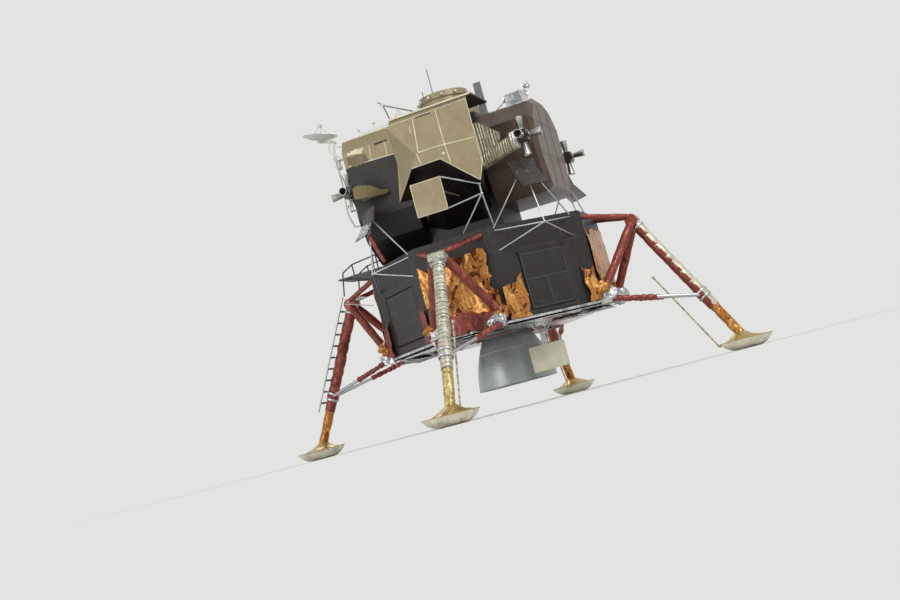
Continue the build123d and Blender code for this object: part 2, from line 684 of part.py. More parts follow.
# Aft equipment bay: outline seen from behind as (x, z), with its rear edges drawn in
AFT_RIM_Y = 1690.0
AFT_BACK_Y = 1770.0
AFT_MID_Z = 4500.0
AFT_OUTLINE = [
    (-200, 5450), (200, 5450), (640, 5330), (1000, 5010), (1010, 4200),
    (760, 3620), (-760, 3620), (-1010, 4200), (-1000, 5010), (-640, 5330),
]
AFT_DRAWN_IN = [(x * 0.9, AFT_MID_Z + (z - AFT_MID_Z) * 0.9) for x, z in AFT_OUTLINE]
with BuildPart() as aft_bay:
    with BuildSketch(Plane(origin=(0, MID_AFT_Y, 0), x_dir=(1, 0, 0), z_dir=(0, -1, 0))):
        with BuildLine():
            Polyline(*AFT_OUTLINE, close=True)
        make_face()
    extrude(amount=MID_AFT_Y - AFT_RIM_Y)
    for depth, outline in ((AFT_RIM_Y, AFT_OUTLINE), (AFT_BACK_Y, AFT_DRAWN_IN)):
        with BuildSketch(Plane(origin=(0, depth, 0), x_dir=(1, 0, 0), z_dir=(0, -1, 0))):
            with BuildLine():
                Polyline(*outline, close=True)
            make_face()
    loft(ruled=True)
    for bay in tank_bays.values():
        add(bay.part, mode=Mode.SUBTRACT)
save(aft_bay, "aft_equipment_bay")

# Quads: a cluster block and four nozzles, on booms from the tank bays
with BuildPart() as quads:
    for x_sign in (-1, 1):
        for y_sign in (-1, 1):
            centre = Vector(x_sign * QUAD_OUT, y_sign * QUAD_OUT, QUAD_Z)
            with Locations(centre):
                Box(190, 190, 190)
            for out in ((x_sign, 0, 0), (0, y_sign, 0), (0, 0, 1), (0, 0, -1)):
                with Locations(Plane(origin=centre + Vector(*out) * JET_IN, z_dir=out)):
                    Cone(35, 73, JET_LENGTH, align=(MIDDLE, MIDDLE, LOW))
                mouth = centre + Vector(*out) * (JET_IN + JET_LENGTH - JET_DEPTH)
                with Locations(Plane(origin=mouth, z_dir=out)):
                    Cone(34, 66, JET_DEPTH, align=(MIDDLE, MIDDLE, LOW), mode=Mode.SUBTRACT)
save(quads, "thruster_quads")

# Booms: each is drawn between two rectangles, as (x, y, z, width, height)
AFT_BOOM = [(1480, 700, 4300, 340, 180), (1680, 1590, 4495, 150, 250)]
FORWARD_BOOM = [(1512, -1590, 4467, 525, 175), (1157, -1120, 4447, 45, 45)]
GUSSET = [(700, 5060), (964, 5007), (1238, 4764), (1183, 4440), (1100, 4330), (700, 4300)]
GUSSET_W = 220.0
with BuildPart() as booms:
    for x_sign in (-1, 1):
        for ends in (AFT_BOOM, FORWARD_BOOM):
            for x, y, z, width, height in ends:
                with BuildSketch(Plane(origin=(x_sign * x, y, z), x_dir=(1, 0, 0), z_dir=(0, 1, 0))):
                    Rectangle(width, height)
            loft(ruled=True)
        with BuildSketch(Plane(origin=(x_sign * 1420, 0, 0), x_dir=(0, 1, 0), z_dir=(1, 0, 0))):
            with BuildLine():
                Polyline(*GUSSET, close=True)
            make_face()
        extrude(amount=x_sign * GUSSET_W)
    for bay in tank_bays.values():
        add(bay.part, mode=Mode.SUBTRACT)
    add(quads.part, mode=Mode.SUBTRACT)
    add(cabin.part, mode=Mode.SUBTRACT)
save(booms, "quad_booms")

# Plume deflectors below the quads: a bent sheet, drawn as (distance out along the diagonal, z)
DEFLECTOR_LINE = [(2100, 4170), (2170, 3930), (2400, 3660)]
DEFLECTOR_BACK = [(2386, 3650), (2156, 3924), (2086, 4166)]
DEFLECTOR_HALF = 270.0


def diagonal(x_sign, y_sign, out, aside, height):
    """Return a point by its distance out along a corner's diagonal, its side step and its height."""
    ahead = Vector(x_sign, y_sign, 0).normalized()
    level = Vector(-ahead.Y, ahead.X, 0)
    return ahead * out + level * aside + Vector(0, 0, height)


with BuildPart() as deflectors:
    for x_sign in (-1, 1):
        for y_sign in (-1, 1):
            ahead = Vector(x_sign, y_sign, 0)
            level = ahead.cross(Vector(0, 0, 1))
            with BuildSketch(Plane(origin=(0, 0, 0), x_dir=ahead, z_dir=level)):
                with BuildLine():
                    Polyline(*DEFLECTOR_LINE, *DEFLECTOR_BACK, close=True)
                make_face()
            extrude(amount=DEFLECTOR_HALF, both=True)
save(deflectors, "plume_deflectors")

# Trusses: a post from a node outside the stage's corner, tied back to the slanted face
NODE_OUT = 2340.0
NODE_Z = 2985.0
TRUSS_R = 13.0
with BuildPart() as trusses:
    for x_sign in (-1, 1):
        for y_sign in (-1, 1):
            node = diagonal(x_sign, y_sign, NODE_OUT, 0, NODE_Z)
            rod(node, diagonal(x_sign, y_sign, 2130, 0, 4000), TRUSS_R)
            with Locations(node):
                Sphere(2 * TRUSS_R)
            for side in (-1, 1):
                rod(node, diagonal(x_sign, y_sign, 1935, side * 775, 3050), TRUSS_R)
                rod(node, diagonal(x_sign, y_sign, 1935, side * 775, 2700), TRUSS_R)
                foot = diagonal(x_sign, y_sign, 1935, side * 790, 3090)
                rod(foot, diagonal(x_sign, y_sign, 2146, side * 120, 3940), TRUSS_R)
    for built in (structure, top_deck, deflectors, arm_covers, *bays.values()):
        add(built.part, mode=Mode.SUBTRACT)
save(trusses, "deflector_trusses")

# Posts and rods between the stages, and the square shield below the port tank bay
with BuildPart() as interstage:
    for x_sign in (-1, 1):
        for y_sign in (-1, 1):
            x, y = x_sign * 560, y_sign * 560
            block((x - 60, y - 60, DECK_Z + DECK_SKIN), (x + 60, y + 60, ASCENT_Z))
save(interstage, "interstage_posts")

SHIELD_NODE_HIGH = (2330, 885, 3840)
SHIELD_NODE_LOW = (2280, 870, 3680)
SHIELD_RODS = [
    (SHIELD_NODE_HIGH, (PORT_FACE_X - 6, 275, 4140)),
    (SHIELD_NODE_HIGH, SHIELD_NODE_LOW),
    (SHIELD_NODE_LOW, (PORT_FACE_X - 6, 275, 3575)),
    (SHIELD_NODE_LOW, (1890, 820, 3135)),
    (SHIELD_NODE_LOW, (2000, 280, 3135)),
]
with BuildPart() as shield_plate:
    block((PORT_FACE_X - 12, -285, 3565), (PORT_FACE_X, 285, 4150))
    rod((PORT_FACE_X - 6, -240, 3900), (1500, -240, 3900), 16)
    rod((PORT_FACE_X - 6, 240, 3900), (1500, 240, 3900), 16)
    for start, end in SHIELD_RODS:
        rod(start, end, 13)
    for node in (SHIELD_NODE_HIGH, SHIELD_NODE_LOW):
        with Locations(node):
            Sphere(22)
    add(tank_bays["port"].part, mode=Mode.SUBTRACT)
    add(top_deck.part, mode=Mode.SUBTRACT)
save(shield_plate, "tank_shield_plate")

# Rendezvous radar: arm from the roof's front edge, yoke that turns about +Z, dish that tips about +X
with BuildPart() as radar_mount:
    block((-90, TURNTABLE.Y - 60, 5540), (90, CABIN_FRONT_Y - FACE_SKIN, TURNTABLE.Z))
    block((-35, TURNTABLE.Y - 35, 5420), (35, TURNTABLE.Y + 35, 5545))
    pin((0, TURNTABLE.Y - 15, 5420), (1, 0, 0), 52, 170)
    pin((0, TURNTABLE.Y, 5570), (0, 0, 1), 12 + PIN_PLAY, 200, Mode.SUBTRACT)
save(radar_mount, "radar_mount")

YOKE_HALF = 120.0
YOKE_LINE = [(-2405, 5620), (-2470, 5740), (-2460, 5860), (-2400, 5940)]
with BuildPart() as radar_yoke:
    pin((0, TURNTABLE.Y, 5550), (0, 0, 1), 12, 120)
    block((-YOKE_HALF - 15, TURNTABLE.Y - 35, 5596), (YOKE_HALF + 15, TURNTABLE.Y + 35, 5640))
    for side in (-1, 1):
        arm = side * YOKE_HALF
        for start, end in zip(YOKE_LINE, YOKE_LINE[1:]):
            rod((arm, *start), (arm, *end), 16)
            with Locations((arm, *start)):
                Sphere(16)
        pin((arm, DISH_PIVOT.Y, DISH_PIVOT.Z), (1, 0, 0), 26, 30)
    pin(DISH_PIVOT, (1, 0, 0), 10 + PIN_PLAY, 400, Mode.SUBTRACT)
save(radar_yoke, "radar_yoke")

with BuildPart() as radar_dish:
    section = Plane(origin=DISH_CENTRE, x_dir=(1, 0, 0), z_dir=DISH_FACES.cross(Vector(1, 0, 0)) * -1)
    with BuildSketch(section):
        with BuildLine():
            Line((0, -78), (0, -64))
            ThreePointArc((0, -64), (190, -46), (DISH_R, 8))
            Line((DISH_R, 8), (DISH_R, -6))
            ThreePointArc((DISH_R, -6), (190, -62), (0, -78))
        make_face()
    revolve(axis=Axis(DISH_CENTRE, DISH_FACES))
    rod(DISH_CENTRE - DISH_FACES * 70, DISH_CENTRE - DISH_FACES * 130, 60)
    rod(DISH_CENTRE - DISH_FACES * 118, DISH_PIVOT, 26)
    pin(DISH_PIVOT, (1, 0, 0), 26, 150)
    pin(DISH_PIVOT, (1, 0, 0), 10, 2 * YOKE_HALF + 60)
    feed = DISH_CENTRE + DISH_FACES * 205
    for turn in (30, 150, 270):
        rim = Vector(math.cos(math.radians(turn)), 0, math.sin(math.radians(turn))) * 240
        mouth = Plane(origin=DISH_CENTRE, x_dir=(1, 0, 0), z_dir=DISH_FACES)
        foot = mouth.from_local_coords((rim.X, rim.Z, -40))
        rod(foot, feed, 7)
    rod(feed - DISH_FACES * 20, feed + DISH_FACES * 25, 45)
save(radar_dish, "radar_dish")

# Steerable dish aerial on the starboard roof
with BuildPart() as steer_mast:
    rod(MAST_FOOT, (MAST_FOOT.X, MAST_FOOT.Y, MAST_TOP_Z), 40)
    rod((MAST_FOOT.X, MAST_FOOT.Y, 5500), (-900, -1150, 5450), 40)
    add(cabin.part, mode=Mode.SUBTRACT)
    pin((MAST_FOOT.X, MAST_FOOT.Y, MAST_TOP_Z), (0, 0, 1), 12 + PIN_PLAY, 160, Mode.SUBTRACT)
save(steer_mast, "steerable_mast")

STEER_PIVOT = Vector(MAST_FOOT.X, MAST_FOOT.Y, MAST_TOP_Z + 130)
with BuildPart() as steer_yoke:
    pin((MAST_FOOT.X, MAST_FOOT.Y, MAST_TOP_Z), (0, 0, 1), 12, 120)
    with Locations((MAST_FOOT.X, MAST_FOOT.Y, MAST_TOP_Z + 6)):
        Box(240, 70, 40, align=(MIDDLE, MIDDLE, LOW))
        for side in (-1, 1):
            with Locations((side * 108, 0, 0)):
                Box(24, 70, 170, align=(MIDDLE, MIDDLE, LOW))
    pin(STEER_PIVOT, (1, 0, 0), 10 + PIN_PLAY, 400, Mode.SUBTRACT)
save(steer_yoke, "steerable_yoke")

with BuildPart() as steer_dish:
    with BuildSketch(Plane(origin=STEER_PIVOT, x_dir=(1, 0, 0), z_dir=(0, 0, 1))):
        with BuildLine():
            Line((0, -80), (0, -94))
            ThreePointArc((0, -94), (190, -116), (STEER_R, -190))
            Line((STEER_R, -190), (STEER_R - 4, -178))
            ThreePointArc((STEER_R - 4, -178), (190, -102), (0, -80))
        make_face()
    revolve(axis=Axis(STEER_PIVOT, (0, 1, 0)))
    rod(STEER_PIVOT + Vector(0, 20, 0), STEER_PIVOT + Vector(0, -88, 0), 45)
    pin(STEER_PIVOT, (1, 0, 0), 10, 230)
save(steer_dish, "steerable_dish")

# Aerials: a forked rod and a short whip on the port eave, a tall whip to starboard and a plate on the roof
FORK = (2400, -410, 5655)
with BuildPart() as aerials:
    rod((2400, -345, 5350), FORK, 12)
    rod(FORK, (2400, -495, 5745), 11)
    rod(FORK, (2400, 155, 5350), 12)
    with Locations(FORK):
        Sphere(30)
    rod((2400, 345, 5350), (2400, 339, 5650), 8)
    rod((-1050, -480, 5360), (-1050, -480, 6985), 9)
    block((485, 760, 5330), (515, 900, 5990))
    for built in (*tank_bays.values(), mid_roof, aft_bay):
        add(built.part, mode=Mode.SUBTRACT)
save(aerials, "roof_aerials")

# Foil covered fixture on the aft edge of the roof
with BuildPart() as fixture:
    block((430, 1290, 5330), (610, 1680, 5570))
    rod((520, 1300, 5500), (520, 1000, 5330), 12)
    rod((560, 1670, 5540), (600, 1760, 5660), 12)
    add(aft_bay.part, mode=Mode.SUBTRACT)
save(fixture, "aft_roof_fixture")

with BuildPart() as tracking_light:
    rod((0, CABIN_FRONT_Y - FACE_SKIN, 5440), (0, CABIN_FRONT_Y - FACE_SKIN - 110, 5440), 50)
save(tracking_light, "tracking_light")
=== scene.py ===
"""Looks of a crewed lunar lander: film wraps, foil covers, panels, studio and camera.

Every length is in metres, in the CAD row frame: +Z up, -Y forward, +X to port.
"""

import json
import logging
import math
from collections.abc import Callable
from dataclasses import dataclass, field
from enum import Enum
from functools import partial

import bmesh
import bpy
import numpy as np
from mathutils import Matrix, Vector

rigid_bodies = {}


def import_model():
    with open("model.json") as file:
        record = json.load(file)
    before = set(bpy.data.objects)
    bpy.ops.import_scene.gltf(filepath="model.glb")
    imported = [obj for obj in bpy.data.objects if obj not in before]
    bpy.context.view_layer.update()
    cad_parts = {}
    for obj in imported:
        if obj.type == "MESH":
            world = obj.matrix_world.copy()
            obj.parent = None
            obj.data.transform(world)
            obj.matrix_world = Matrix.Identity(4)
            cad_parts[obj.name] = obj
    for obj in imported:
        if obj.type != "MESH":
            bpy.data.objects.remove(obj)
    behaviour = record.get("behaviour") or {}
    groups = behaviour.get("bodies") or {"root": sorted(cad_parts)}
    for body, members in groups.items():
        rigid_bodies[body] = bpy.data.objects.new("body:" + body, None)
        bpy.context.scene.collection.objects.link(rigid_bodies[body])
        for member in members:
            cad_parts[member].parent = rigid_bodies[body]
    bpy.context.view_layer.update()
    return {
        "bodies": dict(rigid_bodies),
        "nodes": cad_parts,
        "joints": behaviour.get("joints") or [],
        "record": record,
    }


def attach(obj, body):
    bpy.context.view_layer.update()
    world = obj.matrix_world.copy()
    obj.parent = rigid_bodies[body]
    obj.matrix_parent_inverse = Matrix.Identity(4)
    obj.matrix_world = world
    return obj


LOG = logging.getLogger("lander")
Point = tuple[float, float, float] | Vector
Flat = tuple[float, float]
Line = tuple[Point, Point]
Piece = bpy.types.Object
Node = bpy.types.Node
Socket = bpy.types.NodeSocket
Add = Callable[..., Node]
MM = 0.001


def to_linear(code: str) -> tuple[float, float, float, float]:
    """Turn an sRGB hex colour into linear RGBA.

    Args:
        code: Six hex digits, without a hash sign.

    Returns:
        The colour as linear red, green, blue and an alpha of 1.
    """
    parts = [int(code[i:i + 2], 16) / 255 for i in (0, 2, 4)]
    linear = [c / 12.92 if c <= 0.04045 else ((c + 0.055) / 1.055) ** 2.4 for c in parts]
    return (linear[0], linear[1], linear[2], 1.0)


def wire(node: Node, values: dict) -> Node:
    """Set a node's properties and sockets, and link what other nodes give it.

    Args:
        node: The node.
        values: Property names, or socket names or numbers, with a value, an output or a node each.

    Returns:
        The same node.
    """
    for key, value in values.items():
        if isinstance(value, Node):
            value = value.outputs[0]
        if key == "stops":
            ramp = node.color_ramp.elements
            while len(ramp) < len(value):
                ramp.new(1.0)
            for stop, (place, code) in zip(ramp, value):
                stop.position = place
                stop.color = to_linear(code)
        elif isinstance(value, Socket):
            node.id_data.links.new(value, node.inputs[key])
        elif isinstance(key, str) and key in node.bl_rna.properties:
            setattr(node, key, value)
        else:
            node.inputs[key].default_value = value
    return node


def add_node(tree: bpy.types.NodeTree, kind: str, values: dict | None = None) -> Node:
    """Add a node with its settings and links.

    Args:
        tree: The node tree to add to.
        kind: The node's type name, after its first two words.
        values: What wire takes.

    Returns:
        The new node.
    """
    return wire(tree.nodes.new("ShaderNode" + kind), values or {})


def facets(add: Add, place: Socket, size: float, tilt: float, seed: float) -> tuple[Node, Node, Node]:
    """Break a surface into flat facets of two sizes, each tilted its own way.

    Args:
        add: What adds a node.
        place: The coordinates.
        size: The larger facets' size.
        tilt: How far the facets tilt.
        seed: A shift of the pattern.

    Returns:
        Each facet's level from 0 to 1, which the films turn into painted light and shade on the facets, the
        distance to its edge, and the tilted normal.
    """
    stretch, finer, share = (1.0, 1.0, 0.5), 2.9, 0.42
    long = add("VectorMath", {"operation": "MULTIPLY", 0: place, 1: stretch})
    swirl = add("TexNoise", {"Vector": place, "Scale": 0.6 / size, "Detail": 2.0, "Distortion": seed})
    bent = add("VectorMath", {
        "operation": "MULTIPLY_ADD", 0: swirl.outputs["Color"], 1: (1.4 * size,) * 3, 2: long})
    large = add("TexVoronoi", {"Vector": bent, "Scale": 1 / size})
    small = add("TexVoronoi", {"Vector": bent, "Scale": finer / size})
    edges = add("TexVoronoi", {"feature": "DISTANCE_TO_EDGE", "Vector": bent, "Scale": 1 / size})
    both = add("Mix", {
        "data_type": "VECTOR", 0: share, 4: large.outputs["Color"], 5: small.outputs["Color"]}).outputs[1]
    lean = add("VectorMath", {"operation": "SUBTRACT", 0: both, 1: (0.5, 0.5, 0.5)})
    normal = add("NewGeometry").outputs["Normal"]
    leaning = add("VectorMath", {"operation": "MULTIPLY_ADD", 0: lean, 1: (tilt,) * 3, 2: normal})
    return add("SeparateXYZ", {0: both}), edges, add("VectorMath", {"operation": "NORMALIZE", 0: leaning})


def toned(add: Add, colour: Socket | Node | tuple[float, ...], level: Node, near: float, dark: float,
          light: float) -> Node:
    """Let a colour's brightness follow a pattern.

    Args:
        add: What adds a node.
        colour: The colour.
        level: The pattern, from 0 to 1.
        near: The pattern's level where the colour is darkest, as far from 0 as its lightest is from 1.
        dark: The factor there.
        light: The factor where it is lightest.

    Returns:
        The node that gives the colour.
    """
    tone = add("MapRange", {
        "Value": level, "From Min": near, "From Max": 1 - near, "To Min": dark, "To Max": light})
    return add("HueSaturation", {"Color": colour, "Value": tone})


@dataclass(frozen=True)
class Coat:
    """A finish.

    Attributes:
        name: What the finish is and how it was made.
        metallic: How metallic it is.
        roughness: Its usual roughness.
    """

    name: str
    metallic: float
    roughness: float

    def blank(self) -> tuple[bpy.types.Material, Node, Socket, Add]:
        """Make a plain material, to be given its pattern.

        Returns:
            The material, its shader, the Object coordinates socket and what adds a node to it.
        """
        material = bpy.data.materials.new(self.name)
        material.use_nodes = True
        shader = wire(material.node_tree.nodes["Principled BSDF"], {
            "Metallic": self.metallic, "Roughness": self.roughness})
        add = partial(add_node, material.node_tree)
        return material, shader, add("TexCoord").outputs["Object"], add


@dataclass(frozen=True)
class Film(Coat):
    """Polyimide or aluminised film, crumpled by hand: sharp creases between small flat facets.

    Attributes:
        colour: Its colour on most facets.
        fold: Its colour on the facets of lowest level, a painted shade standing for the folds.
        bright: Its colour on the facets of highest level, a painted highlight.
        facet_mm: The facets' usual size.
        tilt: How far the facets tilt.
    """

    colour: str
    fold: str
    bright: str
    facet_mm: float
    tilt: float

    def build(self) -> bpy.types.Material:
        """Return the film's material.

        Returns:
            The material.
        """
        material, shader, place, add = self.blank()
        level, edge, normal = facets(add, place, self.facet_mm * MM, self.tilt, 0.3)
        # Painted light and shade: the lowest facets take the fold colour and the highest the bright one, and
        # the creases are darkened as painted shade; the same creases bump the normal
        shade = add("ValToRGB", {"Fac": level, "stops": [
            (0.14, self.fold), (0.32, self.colour), (0.64, self.colour), (0.86, self.bright)]})
        crease_bump_and_shade = add("MapRange", {"Value": edge, "From Max": 0.07, "To Min": 0.62, "To Max": 1.0})
        wire(shader, {
            "Base Color": add("HueSaturation", {"Color": shade, "Value": crease_bump_and_shade}),
            "Roughness": add("MapRange", {
                "Value": level, "To Min": self.roughness * 0.7, "To Max": self.roughness * 1.4}),
            "Normal": add("Bump", {
                "Height": crease_bump_and_shade, "Strength": 0.35, "Distance": 3 * MM, "Normal": normal})})
        return material


@dataclass(frozen=True)
class TwoSidedFilm(Coat):
    """Film or sheet with one finish on faces that look one way and another on the rest.

    Attributes:
        first: Its colour on faces that look along the way.
        second: Its colour on the others.
        way: The direction, or all zero for the one that points away from the lander's middle line.
        level: How far a face must look along the way to count.
        facet_mm: The facets' usual size.
        tilt: How far the facets tilt.
    """

    first: str
    second: str
    way: Point
    level: float
    facet_mm: float
    tilt: float

    def build(self) -> bpy.types.Material:
        """Return the film's material.

        Returns:
            The material.
        """
        material, shader, place, add = self.blank()
        level, edge, normal = facets(add, place, self.facet_mm * MM, self.tilt, 0.2)
        way: Node | Point = self.way
        if not any(self.way):
            flat = add("VectorMath", {"operation": "MULTIPLY", 0: place, 1: (1.0, 1.0, 0.0)})
            way = add("VectorMath", {"operation": "NORMALIZE", 0: flat})
        surface = add("NewGeometry").outputs["True Normal"]
        look = add("VectorMath", {"operation": "DOT_PRODUCT", 0: surface, 1: way}).outputs["Value"]
        chosen = add("Math", {"operation": "GREATER_THAN", 0: look, 1: self.level})
        shade = add("Mix", {
            "data_type": "RGBA", 0: chosen, 6: to_linear(self.second), 7: to_linear(self.first)}).outputs[2]
        # Facets lightened and darkened by their level, as painted light and shade
        wire(shader, {
            "Base Color": toned(add, shade, level, 0.2, 0.86, 1.08),
            "Normal": add("Bump", {"Height": edge, "Strength": 0.3, "Distance": 4 * MM, "Normal": normal})})
        return material


@dataclass(frozen=True)
class BandedWrap(Coat):
    """Film tape wound round a member: pale bands, with painted shade darkening the laps between them.

    Attributes:
        colour: Its colour on the bands.
        lap_shade: Its colour in the laps, painted shade in the hollows between the bands.
        along: The direction that the bands follow one another in.
        pitch_mm: The bands' pitch.
        waver: How far the bands waver, in band widths.
    """

    colour: str
    lap_shade: str
    along: Point
    pitch_mm: float
    waver: float = 0.5

    def build(self) -> bpy.types.Material:
        """Return the wrap's material.

        Returns:
            The material.
        """
        material, shader, place, add = self.blank()
        pitch = self.pitch_mm * MM
        level, _, normal = facets(add, place, pitch * 0.8, 0.35, 0.4)
        run = add("VectorMath", {"operation": "DOT_PRODUCT", 0: place, 1: self.along}).outputs["Value"]
        stray = add("TexNoise", {"Vector": place, "Scale": 0.7 / pitch, "Detail": 2.0})
        shifted = add("Math", {"operation": "MULTIPLY_ADD", 0: stray, 1: self.waver * pitch, 2: run})
        turns = add("Math", {"operation": "MULTIPLY", 0: shifted, 1: math.pi / pitch})
        swell = add("Math", {"operation": "ABSOLUTE", 0: add("Math", {"operation": "SINE", 0: turns})})
        # Darker in the hollows between bands as painted shade; facets lightened and darkened by their level
        # as painted light and shade
        shade = add("ValToRGB", {"Fac": swell, "stops": [(0.08, self.lap_shade), (0.34, self.colour)]})
        wire(shader, {
            "Base Color": toned(add, shade, level, 0.2, 0.74, 1.14),
            "Normal": add("Bump", {"Height": swell, "Strength": 0.6, "Distance": 7 * MM, "Normal": normal})})
        return material


@dataclass(frozen=True)
class PaintedSheet(Coat):
    """Painted or film-faced aluminium sheet: slightly oil-canned, with faint scuffs and a soft sheen.

    Attributes:
        colour: Its colour.
        scuff: The colour of its worn places.
        wave_mm: The size of the sheet's soft waves.
    """

    colour: str
    scuff: str
    wave_mm: float = 260.0

    def build(self) -> bpy.types.Material:
        """Return the sheet's material.

        Returns:
            The material.
        """
        material, shader, place, add = self.blank()
        scuffs = add("TexNoise", {
            "Vector": place, "Scale": 7.0, "Detail": 8.0, "Roughness": 0.7, "Distortion": 0.4})
        waves = add("TexNoise", {"Vector": place, "Scale": 1 / (self.wave_mm * MM), "Detail": 1.5})
        shade = add("ValToRGB", {"Fac": scuffs, "stops": [(0.44, self.colour), (0.72, self.scuff)]})
        grain = add("Bump", {"Height": scuffs, "Strength": 0.2, "Distance": 1.5 * MM})
        wire(shader, {
            "Base Color": toned(add, shade, waves, 0.3, 0.9, 1.1),
            "Roughness": add("MapRange", {
                "Value": scuffs, "To Min": self.roughness * 0.8, "To Max": self.roughness * 1.2}),
            "Normal": add("Bump", {"Height": waves, "Strength": 0.5, "Distance": 12 * MM, "Normal": grain})})
        return material


@dataclass(frozen=True)
class SplitSkin(Coat):
    """A skin that changes from film to black paint at a height, along a hand-cut line.

    Attributes:
        upper: Its colour above the change.
        lower: Its colour below the change.
        height: The height of the change.
        under: Whether faces that look down are all of the lower colour.
        aft: How far a face may look aft before it is all of the lower colour.
    """

    upper: str
    lower: str
    height: float
    under: bool = True
    aft: float = 2.0

    def build(self) -> bpy.types.Material:
        """Return the skin's material.

        Returns:
            The material.
        """
        material, shader, place, add = self.blank()
        mottle = add("TexNoise", {
            "Vector": place, "Scale": 3.5, "Detail": 6.0, "Roughness": 0.6, "Distortion": 0.5})
        _, _, normal = facets(add, place, 0.30, 0.07, 0.2)
        stray = 0.05
        ragged = add("Math", {"operation": "MULTIPLY_ADD", 0: mottle, 1: stray,
                              2: add("SeparateXYZ", {0: place}).outputs["Z"]})
        above = add("Math", {"operation": "GREATER_THAN", 0: ragged, 1: self.height + stray / 2})
        look = add("SeparateXYZ", {0: add("NewGeometry").outputs["True Normal"]}).outputs
        upright = add("Math", {"operation": "GREATER_THAN", 0: look["Z"], 1: -0.45 if self.under else -2.0})
        ahead = add("Math", {"operation": "LESS_THAN", 0: look["Y"], 1: self.aft})
        both = add("Math", {"operation": "MULTIPLY", 0: upright, 1: ahead})
        share = add("Math", {"operation": "MULTIPLY", 0: above, 1: both})
        shade = add("Mix", {
            "data_type": "RGBA", 0: share, 6: to_linear(self.lower), 7: to_linear(self.upper)}).outputs[2]
        wire(shader, {
            "Base Color": toned(add, shade, mottle, 0.3, 0.88, 1.1),
            "Normal": add("Bump", {"Height": mottle, "Strength": 0.3, "Distance": 9 * MM, "Normal": normal})})
        return material


@dataclass(frozen=True)
class QuadAlloy(Coat):
    """The thruster clusters: dark painted housings with satin alloy bells.

    Attributes:
        bell: The bells' colour.
        housing: The housings' colour.
        centre: A cluster's centre, with both level parts positive.
        reach: How far a housing reaches from its centre.
    """

    bell: str
    housing: str
    centre: Point
    reach: float

    def build(self) -> bpy.types.Material:
        """Return the material.

        Returns:
            The material.
        """
        material, shader, place, add = self.blank()
        folded = add("VectorMath", {"operation": "ABSOLUTE", 0: place})
        off = add("VectorMath", {"operation": "SUBTRACT", 0: folded, 1: self.centre})
        axes = add("SeparateXYZ", {0: add("VectorMath", {"operation": "ABSOLUTE", 0: off})}).outputs
        level = add("Math", {"operation": "MAXIMUM", 0: axes["X"], 1: axes["Y"]})
        most = add("Math", {"operation": "MAXIMUM", 0: level, 1: axes["Z"]})
        # Bells darker grey at the housing, paler towards their mouths
        toward_mouth = add("MapRange", {"Value": most, "From Min": self.reach, "From Max": self.reach + 0.24})
        bell = add("ValToRGB", {"Fac": toward_mouth, "stops": [(0.0, "6d6a66"), (0.6, self.bell), (1.0, "c6c6c2")]})
        outside = add("Math", {"operation": "GREATER_THAN", 0: most, 1: self.reach})
        grain = add("TexNoise", {"Vector": place, "Scale": 40.0, "Detail": 4.0})
        wire(shader, {
            "Base Color": add("Mix", {
                "data_type": "RGBA", 0: outside, 6: to_linear(self.housing), 7: bell}).outputs[2],
            "Normal": add("Bump", {"Height": grain, "Strength": 0.15, "Distance": 1.5 * MM}),
            "Metallic": outside})
        return material


@dataclass(frozen=True)
class Metal(Coat):
    """Bare or satin metal: a fine brushed grain and slow changes of gloss.

    Attributes:
        colour: Its colour.
        grain_mm: The grain's size, drawn coarser than the real one so that it shows.
    """

    colour: str
    grain_mm: float = 12.0

    def build(self) -> bpy.types.Material:
        """Return the metal's material.

        Returns:
            The material.
        """
        material, shader, place, add = self.blank()
        grain = add("TexNoise", {
            "Vector": place, "Scale": 1 / (self.grain_mm * MM), "Detail": 4.0, "Roughness": 0.6})
        slow = add("TexNoise", {"Vector": place, "Scale": 3.0, "Detail": 3.0})
        wire(shader, {
            "Base Color": toned(add, to_linear(self.colour), slow, 0.3, 0.86, 1.08),
            "Roughness": add("MapRange", {
                "Value": slow, "To Min": self.roughness * 0.7, "To Max": self.roughness * 1.35}),
            "Normal": add("Bump", {"Height": grain, "Strength": 0.14, "Distance": 1.0 * MM})})
        return material


@dataclass(frozen=True)
class Glass(Coat):
    """Window glass over a dark cabin: clear, with a faint grey tint.

    Attributes:
        tint: Its tint.
    """

    tint: str

    def build(self) -> bpy.types.Material:
        """Return the glass's material.

        Returns:
            The material.
        """
        material, shader, place, add = self.blank()
        smears = add("TexNoise", {"Vector": place, "Scale": 6.0, "Detail": 5.0})
        wire(shader, {
            "Roughness": add("MapRange", {"Value": smears, "To Min": 0.01, "To Max": 0.07}),
            "Base Color": to_linear(self.tint), "Transmission Weight": 0.85, "IOR": 1.46})
        return material


